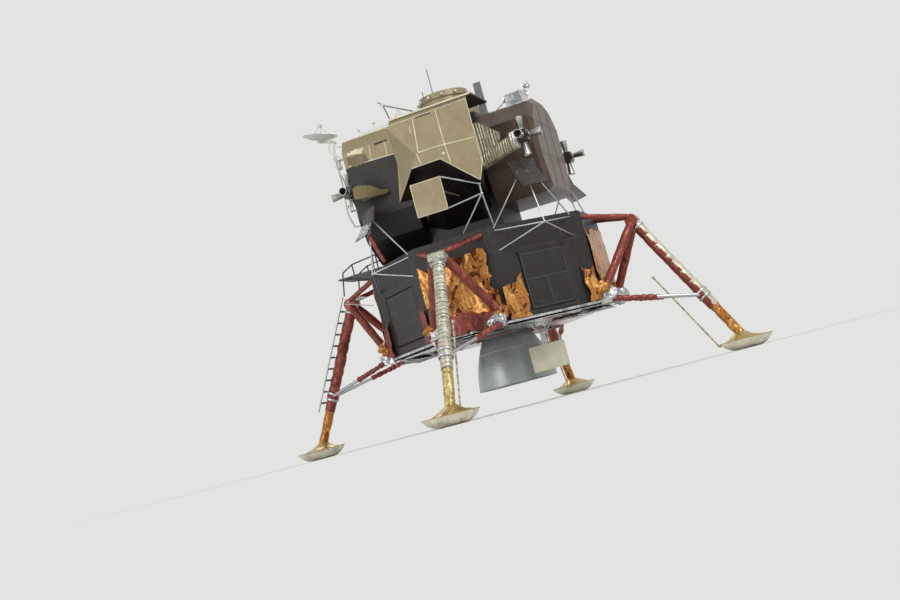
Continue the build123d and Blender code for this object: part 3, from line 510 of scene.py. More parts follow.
class Finish(Enum):
    """The finishes of the lander's pieces, each with what the real one gives the eye."""

    # Amber polyimide film with a metal back: orange-gold facets a hand wide, the brightest a painted
    # highlight, with dark brown painted shade in the folds
    GOLD_FILM = Film("amber_polyimide_film", 0.6, 0.26, "c07e3e", "5c2813", "edb566", 130.0, 0.36)
    # The same film, paler: pale yellow-gold, finely crinkled
    PALE_GOLD_FILM = Film("pale_gold_polyimide_film", 0.5, 0.34, "bfa968", "7d6534", "ddd09a", 55.0, 0.6)
    # Film with a red-brown coat: duller than the gold, with a pink painted highlight on a few facets and
    # painted shade in the folds
    RED_FILM = Film("red_brown_polyimide_film", 0.35, 0.34, "8c4236", "6f2e27", "a9594b", 140.0, 0.3)
    # Aluminised film, metal side out: near white facets, the brightest a painted highlight, with grey painted
    # shade in the folds
    SILVER_FILM = Film("aluminised_film", 0.8, 0.24, "cdcfd0", "989b9e", "e6e7e7", 150.0, 0.3)
    # Film with a black coat outside: glossy dark facets
    BLACK_FILM = Film("black_coated_film", 0.3, 0.3, "2b2a2c", "1b1a1b", "3b3b3e", 150.0, 0.3)
    # Film of the pads: gold where it looks up, almost white where it looks down, a painted highlight on that
    # side
    PAD_FILM = TwoSidedFilm(
        "pad_cover_film", 0.4, 0.34, "ebe6d2", "b2995c", (0.0, 0.0, -1.0), 0.12, 110.0, 0.3)
    # A sleeve wrapped in two films: pale tape on top, red-brown film below
    HALF_RED_WRAP = TwoSidedFilm(
        "pale_and_red_sleeve_film", 0.35, 0.36, "cfcab4", "8b3f31", (0.0, 0.0, 1.0), 0.12, 110.0, 0.35)
    # Nickel alloy sheet: matt near black towards the outside, a painted shade, and bright inside where it
    # faces the jets
    DEFLECTOR_SHEET = TwoSidedFilm(
        "deflector_alloy_sheet", 0.3, 0.34, "3a3431", "e2e2df", (0.0, 0.0, 0.0), 0.0, 90.0, 0.35)
    # Aluminised tape wound round the sleeves: pale bands 75 mm wide with brown painted shade in the laps
    PALE_WRAP = BandedWrap("pale_film_tape", 0.3, 0.4, "c3c1ae", "4c4236", (0.4713, 0.0, -0.882), 75.0)
    # Tape on the probes: pale, with brown painted shade in the laps between bands
    PROBE_WRAP = BandedWrap("banded_probe_tape", 0.2, 0.5, "c6b79a", "5e4029", (0.0, 0.0, 1.0), 110.0)
    # Film pleated round the booms: upright pale pleats 45 mm apart
    PLEATED_FILM = BandedWrap("pleated_boom_film", 0.3, 0.42, "bdb398", "6e6350", (0.0, 1.0, 0.0), 45.0, 0.25)
    # Pale ribbed film of the cuffs beside the clusters
    CUFF_FILM = BandedWrap("pale_cuff_film", 0.3, 0.36, "dedccf", "8f8b7e", (0.0, 1.0, 0.0), 42.0, 0.2)
    # Sheet with thermal paint: near black with a warm cast, faint scuffs
    BLACK_SHEET = PaintedSheet("black_painted_sheet", 0.1, 0.46, "211d1c", "2d2826", 300.0)
    # The same paint on the seams and trims, a little lighter, with faint scuffs
    SEAM_SHEET = PaintedSheet("worn_black_trim", 0.2, 0.42, "35302d", "514a45", 120.0)
    # Film-faced sheet of the tank bays: khaki tan with a satin sheen
    TAN_SHEET = PaintedSheet("tan_film_sheet", 0.2, 0.42, "978968", "a79977", 420.0)
    # The same sheet, pale on its tapes and edges: partly the tapes' own colour, partly a painted highlight
    # along the edges
    PALE_TAPE = PaintedSheet("tan_tape_and_edge_highlight", 0.2, 0.4, "d3caaa", "e4ddc4", 90.0)
    # The same sheet darkened to olive as painted shade, for the shade of the roof
    PAINTED_SHADE_SHEET = PaintedSheet("tan_sheet_with_painted_shade", 0.2, 0.45, "6d6347", "7b7154", 200.0)
    # Nickel foil sheet of the aft bay: smooth brown-grey
    BROWN_SHEET = PaintedSheet("brown_foil_sheet", 0.4, 0.36, "54453b", "665548", 380.0)
    # Cabin skin: tan film along the top, black paint below
    CABIN_SKIN = SplitSkin("cabin_film_and_black_sheet", 0.2, 0.44, "978968", "211e1c", 5.07)
    # Tank bay skin: tan film, but black paint underneath, and near black on its aft side, partly as painted
    # shade
    TANK_SKIN = SplitSkin("tank_bay_film_sheet", 0.2, 0.44, "9b8d6b", "25201e", 3.0, True, 0.35)
    # Matt grey enamel of the cabin's equipment
    GREY_PAINT = PaintedSheet("grey_equipment_enamel", 0.0, 0.5, "6c6e6d", "838583")
    # Dark grey enamel of the porch
    PORCH_PAINT = PaintedSheet("porch_grey_enamel", 0.2, 0.5, "4b4a48", "6b6966", 200.0)
    # White thermal paint of the dishes: clean and slightly satin
    WHITE_PAINT = PaintedSheet("white_thermal_paint", 0.0, 0.42, "dcdcd6", "cbcac2", 500.0)
    # Columbium alloy of the engine bell: smooth pale blue-grey
    NOZZLE = PaintedSheet("columbium_alloy_coat", 0.3, 0.36, "a9b2af", "bac1be", 700.0)
    # Pale greenish film over the radar's box
    RADAR_FILM = PaintedSheet("pale_radar_film", 0.2, 0.38, "cbcab1", "d6d5bf", 240.0)
    # Thruster clusters: satin alloy bells on near black housings
    QUAD_ALLOY = QuadAlloy("thruster_alloy", 1.0, 0.36, "9a9a96", "2a2523", (1.68, 1.68, 4.52), 0.098)
    # Aluminium as milled, gone slightly dull
    ALUMINIUM = Metal("bare_aluminium", 1.0, 0.32, "c4c5c7")
    # Dark anodised aluminium of the brackets
    DARK_METAL = Metal("dark_anodised_aluminium", 1.0, 0.4, "5a5a5c")
    # Fused silica panes
    GLASS = Glass("fused_silica_glass", 0.0, 0.07, "39424a")


class Paintshop:
    """Makes each finish once and gives it to pieces."""

    def __init__(self) -> None:
        """Start with no material made."""
        self.made: dict[Finish, bpy.types.Material] = {}

    def material(self, finish: Finish) -> bpy.types.Material:
        """Return a finish's material, made on its first use.

        Args:
            finish: The finish.

        Returns:
            The material.
        """
        if finish not in self.made:
            self.made[finish] = finish.value.build()
        return self.made[finish]

    def coat(self, piece: Piece, finish: Finish) -> None:
        """Give a piece one finish all over."""
        piece.data.materials.clear()
        piece.data.materials.append(self.material(finish))


def mode(kind: str) -> None:
    """Go into "EDIT" or "OBJECT" mode."""
    bpy.ops.object.mode_set(mode=kind)


def deselect() -> None:
    """Leave nothing selected."""
    if bpy.context.object and bpy.context.object.mode != "OBJECT":
        mode("OBJECT")
    bpy.ops.object.select_all(action="DESELECT")


def focus(*pieces: Piece) -> None:
    """Select some pieces alone, the first of them active.

    Args:
        pieces: The pieces.
    """
    deselect()
    for piece in pieces:
        piece.select_set(True)
    bpy.context.view_layer.objects.active = pieces[0]


def shape(name: str, kind: str, **values: object) -> Piece:
    """Add one of Blender's basic shapes.

    Args:
        name: The piece's name.
        kind: The kind of shape.
        values: Its settings.

    Returns:
        The piece.
    """
    deselect()
    getattr(bpy.ops.mesh, f"primitive_{kind}_add")(**values)
    bpy.context.object.name = name
    return bpy.context.object


def settle(piece: Piece, matrix: Matrix) -> None:
    """Put the place of a piece, modelled round its own origin, into its mesh.

    Args:
        piece: The piece, modelled round its own origin.
        matrix: Where it goes.
    """
    focus(piece)
    piece.matrix_world = matrix @ piece.matrix_world
    bpy.ops.object.transform_apply(location=True, rotation=True, scale=True)


def outward(piece: Piece) -> None:
    """Turn a closed piece's faces outwards.

    Args:
        piece: The piece.
    """
    focus(piece)
    mode("EDIT")
    bpy.ops.mesh.select_all(action="SELECT")
    bpy.ops.mesh.normals_make_consistent(inside=False)
    mode("OBJECT")


def side_on(piece: Piece, x: float, sign: int = 1) -> None:
    """Set a piece that is drawn as (y, z) on a side of the lander, standing out from it.

    Args:
        piece: The piece, round its own origin.
        x: Where the side is.
        sign: 1 if it faces port, -1 starboard.
    """
    settle(piece, Matrix.Translation((x, 0, 0)) @ Matrix(((0, 0, sign), (1, 0, 0), (0, 1, 0))).to_4x4())
    if sign < 0:
        outward(piece)


def between(start: Point, end: Point) -> Matrix:
    """Return the placement that puts a piece's Z axis from start to end, centred between them.

    Args:
        start: The start.
        end: The end.

    Returns:
        The placement.
    """
    low, high = Vector(start), Vector(end)
    turn = (high - low).to_track_quat("Z", "Y").to_matrix().to_4x4()
    return Matrix.Translation((low + high) / 2) @ turn


def facing(origin: Point, along: Point, out: Point) -> Matrix:
    """Return the placement of a flat piece.

    Args:
        origin: Where its own origin goes.
        along: Where its X axis points.
        out: Where its Z axis points.

    Returns:
        The placement as a matrix.
    """
    z_axis = Vector(out).normalized()
    x_axis = Vector(along)
    x_axis = (x_axis - z_axis * x_axis.dot(z_axis)).normalized()
    turn = Matrix((x_axis, z_axis.cross(x_axis), z_axis)).transposed().to_4x4()
    return Matrix.Translation(Vector(origin)) @ turn


def crumple(piece: Piece, size: float, depth: float, seed: int, middle: float = 0.5,
            way: Point | None = None) -> None:
    """Crumple a piece as hand-folded film is: flat facets between straight creases.

    Args:
        piece: The piece, of many small faces.
        size: The facets' usual size.
        depth: The depth from the lowest fold to the highest.
        seed: The seed of its folds.
        middle: The level that stays in place, from 0 to 1.
        way: The direction that a sheet moves in, or none for a closed piece, which swells.
    """
    count = len(piece.data.vertices)
    places, normals = np.empty(count * 3), np.empty(count * 3)
    piece.data.vertices.foreach_get("co", places)
    piece.data.vertices.foreach_get("normal", normals)
    places, normals = places.reshape(-1, 3), normals.reshape(-1, 3)
    chance = np.random.default_rng(seed)
    height = np.zeros(count)
    for _ in range(7):
        run = chance.normal(size=3)
        knots = chance.random(4096)
        at = places @ (run / np.linalg.norm(run)) / (size * chance.uniform(0.7, 1.9))
        at = at + 2000 + chance.uniform(0, 9)
        low = np.floor(at).astype(int)
        height += knots[low] * (low + 1 - at) + knots[low + 1] * (at - low)
    height = (height - height.min()) / max(height.max() - height.min(), 1e-9)
    places += (normals if way is None else np.array(way)) * ((height - middle) * depth)[:, None]
    piece.data.vertices.foreach_set("co", places.ravel())
    piece.data.update()


def fold(piece: Piece, *folds: tuple[float, float, int], middle: float = 0.0) -> None:
    """Crumple a sheet along its own Z axis.

    Args:
        piece: The sheet.
        folds: The size, depth and seed of each set of folds.
        middle: The level that stays in place, from 0 to 1.
    """
    for size, depth, seed in folds:
        crumple(piece, size, depth, seed, middle, (0, 0, 1))


def gather(piece: Piece, pitch: float, depth: float, seed: int) -> None:
    """Draw a tube in at uneven laps, so that its wrap bulges between them.

    Args:
        piece: The tube, along its own Z axis.
        pitch: The laps' usual pitch.
        depth: How far it bulges.
        seed: The seed of the laps.
    """
    chance = np.random.default_rng(seed)
    laps = [-20.0 * pitch]
    while laps[-1] < 40 * pitch:
        laps.append(laps[-1] + pitch * chance.uniform(0.55, 1.5))
    for vertex in piece.data.vertices:
        spot = int(np.searchsorted(laps, vertex.co.z))
        share = (vertex.co.z - laps[spot - 1]) / (laps[spot] - laps[spot - 1])
        reach = vertex.co.xy.length
        if reach > 1e-6:
            vertex.co.xy *= (reach + depth * (math.sqrt(max(0.0, math.sin(math.pi * share))) - 0.5)) / reach


def pick(piece: Piece, kind: str, test: Callable[..., bool]) -> None:
    """Select, in edit mode, the edges or faces that a test takes.

    Args:
        piece: The object in edit mode.
        kind: "EDGE" or "FACE".
        test: The test of one edge or face.
    """
    bpy.ops.mesh.select_mode(type=kind)
    bpy.ops.mesh.select_all(action="DESELECT")
    mesh = bmesh.from_edit_mesh(piece.data)
    for part in mesh.edges if kind == "EDGE" else mesh.faces:
        if test(part):
            part.select_set(True)
    bmesh.update_edit_mesh(piece.data)


def climbs(least: float) -> Callable[[bmesh.types.BMEdge], bool]:
    """Return a test of edges that climb more than a height."""
    return lambda edge: abs(edge.verts[0].co.z - edge.verts[1].co.z) > least


def tube(name: str, start: Point, end: Point, radius: float, rings: int = 40, sides: int = 20) -> Piece:
    """Model a round tube with many rings, still round its own origin along Z.

    Args:
        name: The piece's name.
        start: One end, which only sets the length.
        end: The other end.
        radius: The radius.
        rings: The number of rings along it.
        sides: The number of sides round it.

    Returns:
        The tube, to be shaped and then settled with between(start, end).
    """
    length = (Vector(end) - Vector(start)).length
    piece = shape(name, "cylinder", vertices=sides, radius=radius, depth=length)
    mode("EDIT")
    pick(piece, "EDGE", climbs(length / 2))
    if rings:
        bpy.ops.mesh.subdivide(number_cuts=rings)
    mode("OBJECT")
    return piece


def within(outline: list[Flat], x: float, y: float) -> bool:
    """Return whether a point is inside an outline.

    Args:
        outline: The outline's corners.
        x: The point's X.
        y: The point's Y.

    Returns:
        Whether it is inside.
    """
    inside = False
    for (x0, y0), (x1, y1) in zip(outline, outline[1:] + outline[:1]):
        if (y0 > y) != (y1 > y) and x < (x1 - x0) * (y - y0) / (y1 - y0) + x0:
            inside = not inside
    return inside


def sheet(name: str, outline: list[Flat], step: float, thickness: float, ragged: float = 0.0,
          seed: int = 1) -> Piece:
    """Model a sheet of many small faces, cut to an outline in its XY plane.

    Args:
        name: The piece's name.
        outline: The outline's corners.
        step: The size of its faces.
        thickness: Its thickness, from 0 up along Z.
        ragged: How far its cut edge strays.
        seed: The seed of the edge.

    Returns:
        The sheet.
    """
    low = Vector((min(x for x, _ in outline), min(y for _, y in outline)))
    high = Vector((max(x for x, _ in outline), max(y for _, y in outline)))
    middle, size = (low + high) / 2, high - low
    piece = shape(name, "grid", x_subdivisions=max(2, round(size.x / step)),
                  y_subdivisions=max(2, round(size.y / step)), size=1)
    piece.scale = (size.x, size.y, 1)
    piece.location = (middle.x, middle.y, 0)
    bpy.ops.object.transform_apply(location=True, scale=True)
    chance = np.random.default_rng(seed)
    waves = [(chance.normal(size=2) * 22, chance.uniform(0, 6)) for _ in range(5)]

    def outside(face: bmesh.types.BMFace) -> bool:
        """Return whether a face's middle is off the outline, with a stray that changes along it.

        Args:
            face: The face.

        Returns:
            Whether it is outside.
        """
        centre = face.calc_center_median()
        waver = sum(math.sin(way[0] * centre.x + way[1] * centre.y + turn) for way, turn in waves)
        stray = ragged * waver / 2.2
        return not within(outline, centre.x + stray, centre.y - stray)

    mode("EDIT")
    pick(piece, "FACE", outside)
    bpy.ops.mesh.delete(type="FACE")
    mode("OBJECT")
    solidify = piece.modifiers.new("thickness", "SOLIDIFY")
    solidify.thickness = thickness
    solidify.offset = 1
    bpy.ops.object.modifier_apply(modifier="thickness")
    return piece


def plate(name: str, outline: list[Flat], thickness: float, bevel: float = 0.002) -> Piece:
    """Model a flat plate with softened edges, in its XY plane and from 0 up along Z.

    Args:
        name: The piece's name.
        outline: The outline's corners.
        thickness: The plate's thickness.
        bevel: The width of its softened edges.

    Returns:
        The plate.
    """
    piece = shape(name, "circle", vertices=len(outline), fill_type="NGON")
    for vertex, corner in zip(piece.data.vertices, outline):
        vertex.co = (*corner, 0.0)
    mode("EDIT")
    bpy.ops.mesh.select_all(action="SELECT")
    bpy.ops.mesh.extrude_region_move(TRANSFORM_OT_translate={"value": (0, 0, thickness)})
    bpy.ops.mesh.select_all(action="SELECT")
    bpy.ops.mesh.normals_make_consistent(inside=False)
    bpy.ops.mesh.bevel(offset=bevel, segments=2, affect="EDGES")
    mode("OBJECT")
    return piece


def strip(name: str, start: Point, end: Point, out: Point, width: float = 0.012,
          height: float = 0.006) -> Piece:
    """Model a low strip with softened edges along a line on a surface.

    Args:
        name: The piece's name.
        start: Its one end, on the surface.
        end: Its other end.
        out: The surface's outward direction.
        width: Its width.
        height: Its height off the surface.

    Returns:
        The strip, in place.
    """
    run = Vector(end) - Vector(start)
    half = run.length / 2
    piece = plate(name, [(-half, -width / 2), (half, -width / 2), (half, width / 2), (-half, width / 2)],
                  height, min(width, height) * 0.3)
    settle(piece, facing((Vector(start) + Vector(end)) / 2, run, out))
    return piece


def strips(name: str, lines: list[Line], out: Point, width: float, height: float) -> Piece:
    """Model low strips along lines on a surface, as one piece.

    Args:
        name: The piece's name.
        lines: Each strip's two ends.
        out: The surface's outward direction.
        width: Their width.
        height: Their height off the surface.

    Returns:
        The joined strips.
    """
    return merge(name, [strip("strip", start, end, out, width, height) for start, end in lines])


def rod(name: str, points: list[Point], radius: float, sides: int = 12) -> Piece:
    """Model a bent rod with rounded knees through some points.

    Args:
        name: The piece's name.
        points: The points that it passes.
        radius: Its radius.
        sides: The number of its sides.

    Returns:
        The rod, in place.
    """
    parts = []
    for start, end in zip(points, points[1:]):
        piece = tube(name, start, end, radius, 1, sides)
        settle(piece, between(start, end))
        parts.append(piece)
    for knee in points[1:-1]:
        ball = shape("knee", "uv_sphere", segments=sides, ring_count=8, radius=radius * 1.04)
        settle(ball, Matrix.Translation(knee))
        parts.append(ball)
    return merge(name, parts)


def hoop(name: str, place: Matrix, radius: float, section: float, flat: float = 1.0, sides: int = 64,
         around: int = 10) -> Piece:
    """Model a ring of a flattened round section.

    Args:
        name: The piece's name.
        place: Its placement, with its axis along Z.
        radius: Its radius.
        section: The radius of its section.
        flat: How much its section is stretched along the axis.
        sides: The number of its sides.
        around: The number of sides of its section.

    Returns:
        The ring, in place.
    """
    piece = shape(name, "torus", major_radius=radius, minor_radius=section, major_segments=sides,
                  minor_segments=around)
    piece.scale = (1, 1, flat)
    bpy.ops.object.transform_apply(scale=True)
    settle(piece, place)
    return piece


def lump(name: str, centre: Point, size: Point, depth: float, seed: int) -> Piece:
    """Model a wad of loosely crumpled film.

    Args:
        name: The piece's name.
        centre: Its middle.
        size: Its half sizes.
        depth: The depth of its folds.
        seed: The seed of its folds.

    Returns:
        The wad, in place.
    """
    piece = shape(name, "ico_sphere", subdivisions=5, radius=1.0)
    piece.scale = size
    bpy.ops.object.transform_apply(scale=True)
    crumple(piece, 0.55 * min(size), depth, seed)
    crumple(piece, 0.22 * min(size), depth * 0.4, seed + 1)
    settle(piece, Matrix.Translation(Vector(centre)))
    smooth(piece, 18)
    return piece


def stud(name: str, radius: float, height: float) -> Piece:
    """Model a fastener's low domed head round its own origin, standing along Z.

    Args:
        name: The piece's name.
        radius: Its radius.
        height: Its height.

    Returns:
        The head.
    """
    piece = shape(name, "cylinder", vertices=8, radius=radius, depth=height)
    settle(piece, Matrix.Translation((0, 0, height / 2)))
    mode("EDIT")
    pick(piece, "FACE", lambda face: face.normal.z > 0.9)
    bpy.ops.mesh.inset(thickness=radius * 0.35)
    bpy.ops.transform.translate(value=(0, 0, height * 0.35))
    mode("OBJECT")
    return piece


def scatter(name: str, model: Piece, places: list[Matrix]) -> Piece:
    """Copy a model to many places, each copy with its own mesh, and join the copies.

    Args:
        name: The joined piece's name.
        model: The model, round its own origin. It is used up.
        places: The places.

    Returns:
        The joined piece.
    """
    copies = []
    for place in places:
        twin = model.copy()
        twin.data = model.data.copy()
        bpy.context.scene.collection.objects.link(twin)
        twin.data.transform(place)
        copies.append(twin)
    bpy.data.objects.remove(model, do_unlink=True)
    return merge(name, copies)


def smooth(piece: Piece, angle: float = 35.0) -> None:
    """Shade a piece smooth, with edges sharper than an angle in degrees kept sharp."""
    focus(piece)
    bpy.ops.object.shade_smooth_by_angle(angle=math.radians(angle))


def merge(name: str, pieces: list[Piece]) -> Piece:
    """Join pieces of one finish into one.

    Args:
        name: The joined piece's name.
        pieces: The pieces, all settled.

    Returns:
        The joined piece.
    """
    focus(*pieces)
    if len(pieces) > 1:
        bpy.ops.object.join()
    pieces[0].name = name
    pieces[0].data.name = name
    return pieces[0]


@dataclass
class Maker:
    """What every sub-assembly needs: the CAD nodes and the paints.

    Attributes:
        nodes: The CAD nodes by name.
        paints: The shop that makes the finishes.
    """

    nodes: dict[str, Piece]
    paints: Paintshop

    def fit(self, piece: Piece, finish: Finish, slot: str, body: str = "lander") -> Piece:
        """Finish a piece and set it on its body.

        Args:
            piece: The piece, in place.
            finish: Its finish.
            slot: The record's material slot; not used.
            body: The body that it rides on.

        Returns:
            The piece.
        """
        self.paints.coat(piece, finish)
        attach(piece, body)
        LOG.info("%s on %s, %d faces", piece.name, body, len(piece.data.polygons))
        return piece

    def paint(self, finish: Finish, *names: str) -> None:
        """Give CAD nodes a finish in their material slots.

        Args:
            finish: The finish.
            names: The nodes.
        """
        for name in names:
            node = self.nodes[name]
            if not node.material_slots:
                node.data.materials.append(None)
            for slot in node.material_slots:
                slot.material = self.paints.material(finish)


SIDES: dict[str, int] = {"port": 1, "starboard": -1}
TURNS: dict[str, float] = {"port": 0.0, "aft": 90.0, "starboard": 180.0, "forward": 270.0}


def quarter(degrees: float) -> Matrix:
    """Return the turn of a leg or an arm about the lander's vertical middle line."""
    return Matrix.Rotation(math.radians(degrees), 4, "Z")


@dataclass(frozen=True)
class Leg:
    """One of the four legs.

    Attributes:
        side: Its side of the lander.
        degrees: Its turn from the port leg.
        seed: The seed of its films' folds.
    """

    side: str
    degrees: float
    seed: int


@dataclass
class LandingGear(Maker):
    """Film wraps of the four legs.

    Attributes:
        apex: The strut's upper end, on the port leg.
        ball: The strut's lower end, on the port leg.
        sleeve_r: The wrap's radius on the sleeve.
        piston_r: The wrap's radius on the piston.
        pad_r: The pad's radius.
    """

    apex: Point = (2.850, 0.0, 2.755)
    ball: Point = (4.242, 0.0, 0.150)
    sleeve_r: float = 0.100
    piston_r: float = 0.084
    pad_r: float = 0.470

    def along(self, share: float) -> Point:
        """Return the point at a share of the port strut's axis."""
        return Vector(self.apex).lerp(Vector(self.ball), share)

    def wrap(self, name: str, start: Point, end: Point, radius: float, laps: float, depth: float,
             leg: Leg, shift: int = 0) -> Piece:
        """Model one crumpled wrap on a port member and turn it to its leg.

        Args:
            name: The piece's name.
            start: The wrap's upper end on the port leg.
            end: The wrap's lower end on the port leg.
            radius: The wrap's radius.
            laps: The pitch of its laps, or 0 for loose folds alone.
            depth: The depth of its folds.
            leg: The leg.
            shift: What is added to the leg's seed.

        Returns:
            The wrap.
        """
        length = (Vector(end) - Vector(start)).length
        piece = tube(name, start, end, radius, rings=max(12, int(length / 0.013)), sides=26)
        if laps:
            gather(piece, laps, depth, leg.seed + shift)
        crumple(piece, 0.075, depth, leg.seed + shift, 0.45)
        settle(piece, quarter(leg.degrees) @ between(start, end))
        smooth(piece, 22)
        return piece

    def build(self) -> None:
        """Wrap the struts, pistons, outriggers and side struts, and dress the pads."""
        self.dress()
        for number, (side, degrees) in enumerate(TURNS.items()):
            leg = Leg(side, degrees, 20 * number + 3)
            port, aft = side == "port", side == "aft"
            finish = Finish.PALE_WRAP if port else Finish.HALF_RED_WRAP if aft else Finish.RED_FILM
            self.fit(self.wrap(f"sleeve_wrap_{side}", self.along(0.055), self.along(0.592), self.sleeve_r,
                               0.075 if port else 0.22, 0.008 if aft else 0.017, leg), finish, "strut_wrap")
            self.fit(self.wrap(f"sleeve_cuff_{side}", self.along(0.65), self.along(0.722), 0.102, 0.0, 0.012,
                               leg, 1), finish, "strut_wrap")
            piston = self.wrap(f"piston_wrap_{side}", self.along(0.722), self.along(0.95), self.piston_r, 0.3,
                               0.010, leg, 2)
            self.fit(piston, Finish.PALE_GOLD_FILM if port else Finish.GOLD_FILM, "foil_gold")
            self.members(leg)
            self.laces(leg)
            self.fit(self.wads(leg, -1), Finish.GOLD_FILM, "foil_gold")
            self.fit(self.wads(leg, 1), Finish.SILVER_FILM, "foil_silver")
            self.mound(leg)
            self.clamps(leg)
        self.ladder_grips()
        self.apex_bracket()

    def dress(self) -> None:
        """Dress the legs' CAD nodes."""
        self.paint(Finish.RED_FILM, "primary_strut_starboard", "primary_strut_forward",
                   "outriggers_port", "outriggers_aft", "outriggers_starboard", "outriggers_forward")
        self.paint(Finish.HALF_RED_WRAP, "primary_strut_aft")
        self.paint(Finish.PALE_WRAP, "primary_strut_port")
        self.paint(Finish.GOLD_FILM, "strut_pistons")
        self.paint(Finish.PAD_FILM, "footpads")
        self.paint(Finish.ALUMINIUM, "side_struts", "ladder", "gear_lugs")
        self.paint(Finish.PROBE_WRAP, "probe_port", "probe_aft", "probe_starboard")

    def members(self, leg: Leg) -> None:
        """Add the wraps of a leg's four outriggers as one piece.

        Args:
            leg: The leg.
        """
        parts = []
        for hand in (-1, 1):
            thick = ((2.804, hand * 0.149, 2.649), (2.216, hand * 0.567, 1.741))
            thin = ((2.79, hand * 0.148, 2.842), (2.10, hand * 0.567, 3.013))
            parts.append(self.wrap("outrigger", *thick, 0.078, 0.0, 0.012, leg, 3 + hand))
            parts.append(self.wrap("upper_outrigger", *thin, 0.047, 0.0, 0.009, leg, 5))
        self.fit(merge(f"outrigger_wraps_{leg.side}", parts), Finish.RED_FILM, "wrap_red")

    def laces(self, leg: Leg) -> None:
        """Add the film tied round the inner ends of a leg's side struts.

        Args:
            leg: The leg.
        """
        parts = []
        for hand in (-1, 1):
            inner, outer = (2.25, hand * 0.579, 1.447), (2.968, hand * 0.327, 1.286)
            parts.append(self.wrap("side_strut", inner, outer, 0.043, 0.12, 0.018, leg, 9 + hand))
        self.fit(merge(f"side_strut_wraps_{leg.side}", parts), Finish.RED_FILM, "wrap_red")

    def wads(self, leg: Leg, hand: int) -> Piece:
        """Model the wads of film stuffed round the lugs at an arm's lower corners.

        Args:
            leg: The leg.
            hand: Which of the two films: -1 above, 1 below.

        Returns:
            The joined wads.
        """
        seed = leg.seed + (0 if hand < 0 else 7)
        parts = []
        for edge in (-1, 1):
            centre = (2.16 + 0.03 * hand, edge * (0.60 - 0.05 * hand), 1.60 - 0.075 * hand)
            parts.append(lump("wad", centre, (0.14, 0.17, 0.115), 0.10, seed + edge))
        piece = merge(f"lug_film_{leg.side}_{'high' if hand < 0 else 'low'}", parts)
        settle(piece, quarter(leg.degrees))
        return piece

    def mound(self, leg: Leg) -> None:
        """Add the film gathered from a pad's rim up to its strut.

        Args:
            leg: The leg.
        """
        foot, rise, neck = 0.16, 0.15, 0.10
        piece = shape(f"pad_cover_{leg.side}", "cone", vertices=72, radius1=self.pad_r - 0.012, radius2=neck,
                      depth=rise)
        settle(piece, Matrix.Translation((0, 0, foot + rise / 2)))
        mode("EDIT")
        pick(piece, "EDGE", climbs(0.1))
        bpy.ops.mesh.subdivide(number_cuts=16)
        mode("OBJECT")
        for vertex in piece.data.vertices:
            share = 1.0 if vertex.co.xy.length < neck + 0.001 else max(0.0, (vertex.co.z - foot) / rise)
            vertex.co.z = foot + 0.003 + 0.135 * share ** 1.9
            vertex.co.x -= 0.075 * share
        crumple(piece, 0.07, 0.035, leg.seed, 0.35)
        settle(piece, quarter(leg.degrees) @ Matrix.Translation((self.ball[0], 0, 0)))
        smooth(piece, 20)
        self.fit(piece, Finish.PAD_FILM, "foil_gold")

    def clamps(self, leg: Leg) -> None:
        """Add the bright bands round a strut's joints as one piece.

        Args:
            leg: The leg.
        """
        parts = []
        for share, radius in ((0.006, 0.117), (0.048, 0.117), (0.60, 0.123), (0.64, 0.123), (0.955, 0.088)):
            start, end = self.along(share), self.along(share + 0.01)
            parts.append(hoop("clamp", between(start, end), radius, 0.009, 2.4, 40, 8))
        piece = merge(f"strut_clamps_{leg.side}", parts)
        settle(piece, quarter(leg.degrees))
        self.fit(piece, Finish.ALUMINIUM, "bare_metal")

    def apex_bracket(self) -> None:
        """Add the white bracket and the two thin rods at the forward strut's head."""
        x = 0.155
        bracket = plate("bracket", [(-2.691, 2.780), (-2.454, 2.799), (-2.677, 2.877)], 0.010, 0.002)
        side_on(bracket, x - 0.005)
        lower = rod("lower", [(x, -2.945, 2.786), (x, -2.366, 2.600)], 0.009, 10)
        upper = rod("upper", [(x, -2.90, 2.80), (x, -2.68, 2.86)], 0.009, 10)
        self.fit(merge("forward_apex_bracket", [bracket, lower, upper]), Finish.WHITE_PAINT, "dish_white")

    def ladder_grips(self) -> None:
        """Add the ribbed grips on the ladder's nine rungs as one piece."""
        run = (Vector(self.ball) - Vector(self.apex)).normalized()
        lift = Vector((-run.z, 0, run.x))
        length = (Vector(self.ball) - Vector(self.apex)).length
        places = []
        for number in range(9):
            centre = Vector(self.apex) + run * (0.06 * length + 0.229 * number) + lift * 0.14
            for step in range(-5, 6):
                spot = centre + Vector((0, step * 0.034, 0))
                places.append(quarter(270) @ Matrix.Translation(spot) @ Matrix.Rotation(math.pi / 2, 4, "X"))
        model = hoop("grip", Matrix.Identity(4), 0.0165, 0.003, 1.2, 14, 6)
        self.fit(scatter("ladder_grips", model, places), Finish.DARK_METAL, "bare_metal")


@dataclass(frozen=True)
class Corner:
    """A corner bay of the descent stage, with a slanted face.

    Attributes:
        x: 1 to port, -1 to starboard.
        y: 1 aft, -1 forward.
        seed: The seed of its films' folds.
    """

    x: int
    y: int
    seed: int = 0

    @property
    def name(self) -> str:
        """Return the bay's name."""
        return f"{'port' if self.x > 0 else 'starboard'}_{'aft' if self.y > 0 else 'forward'}"


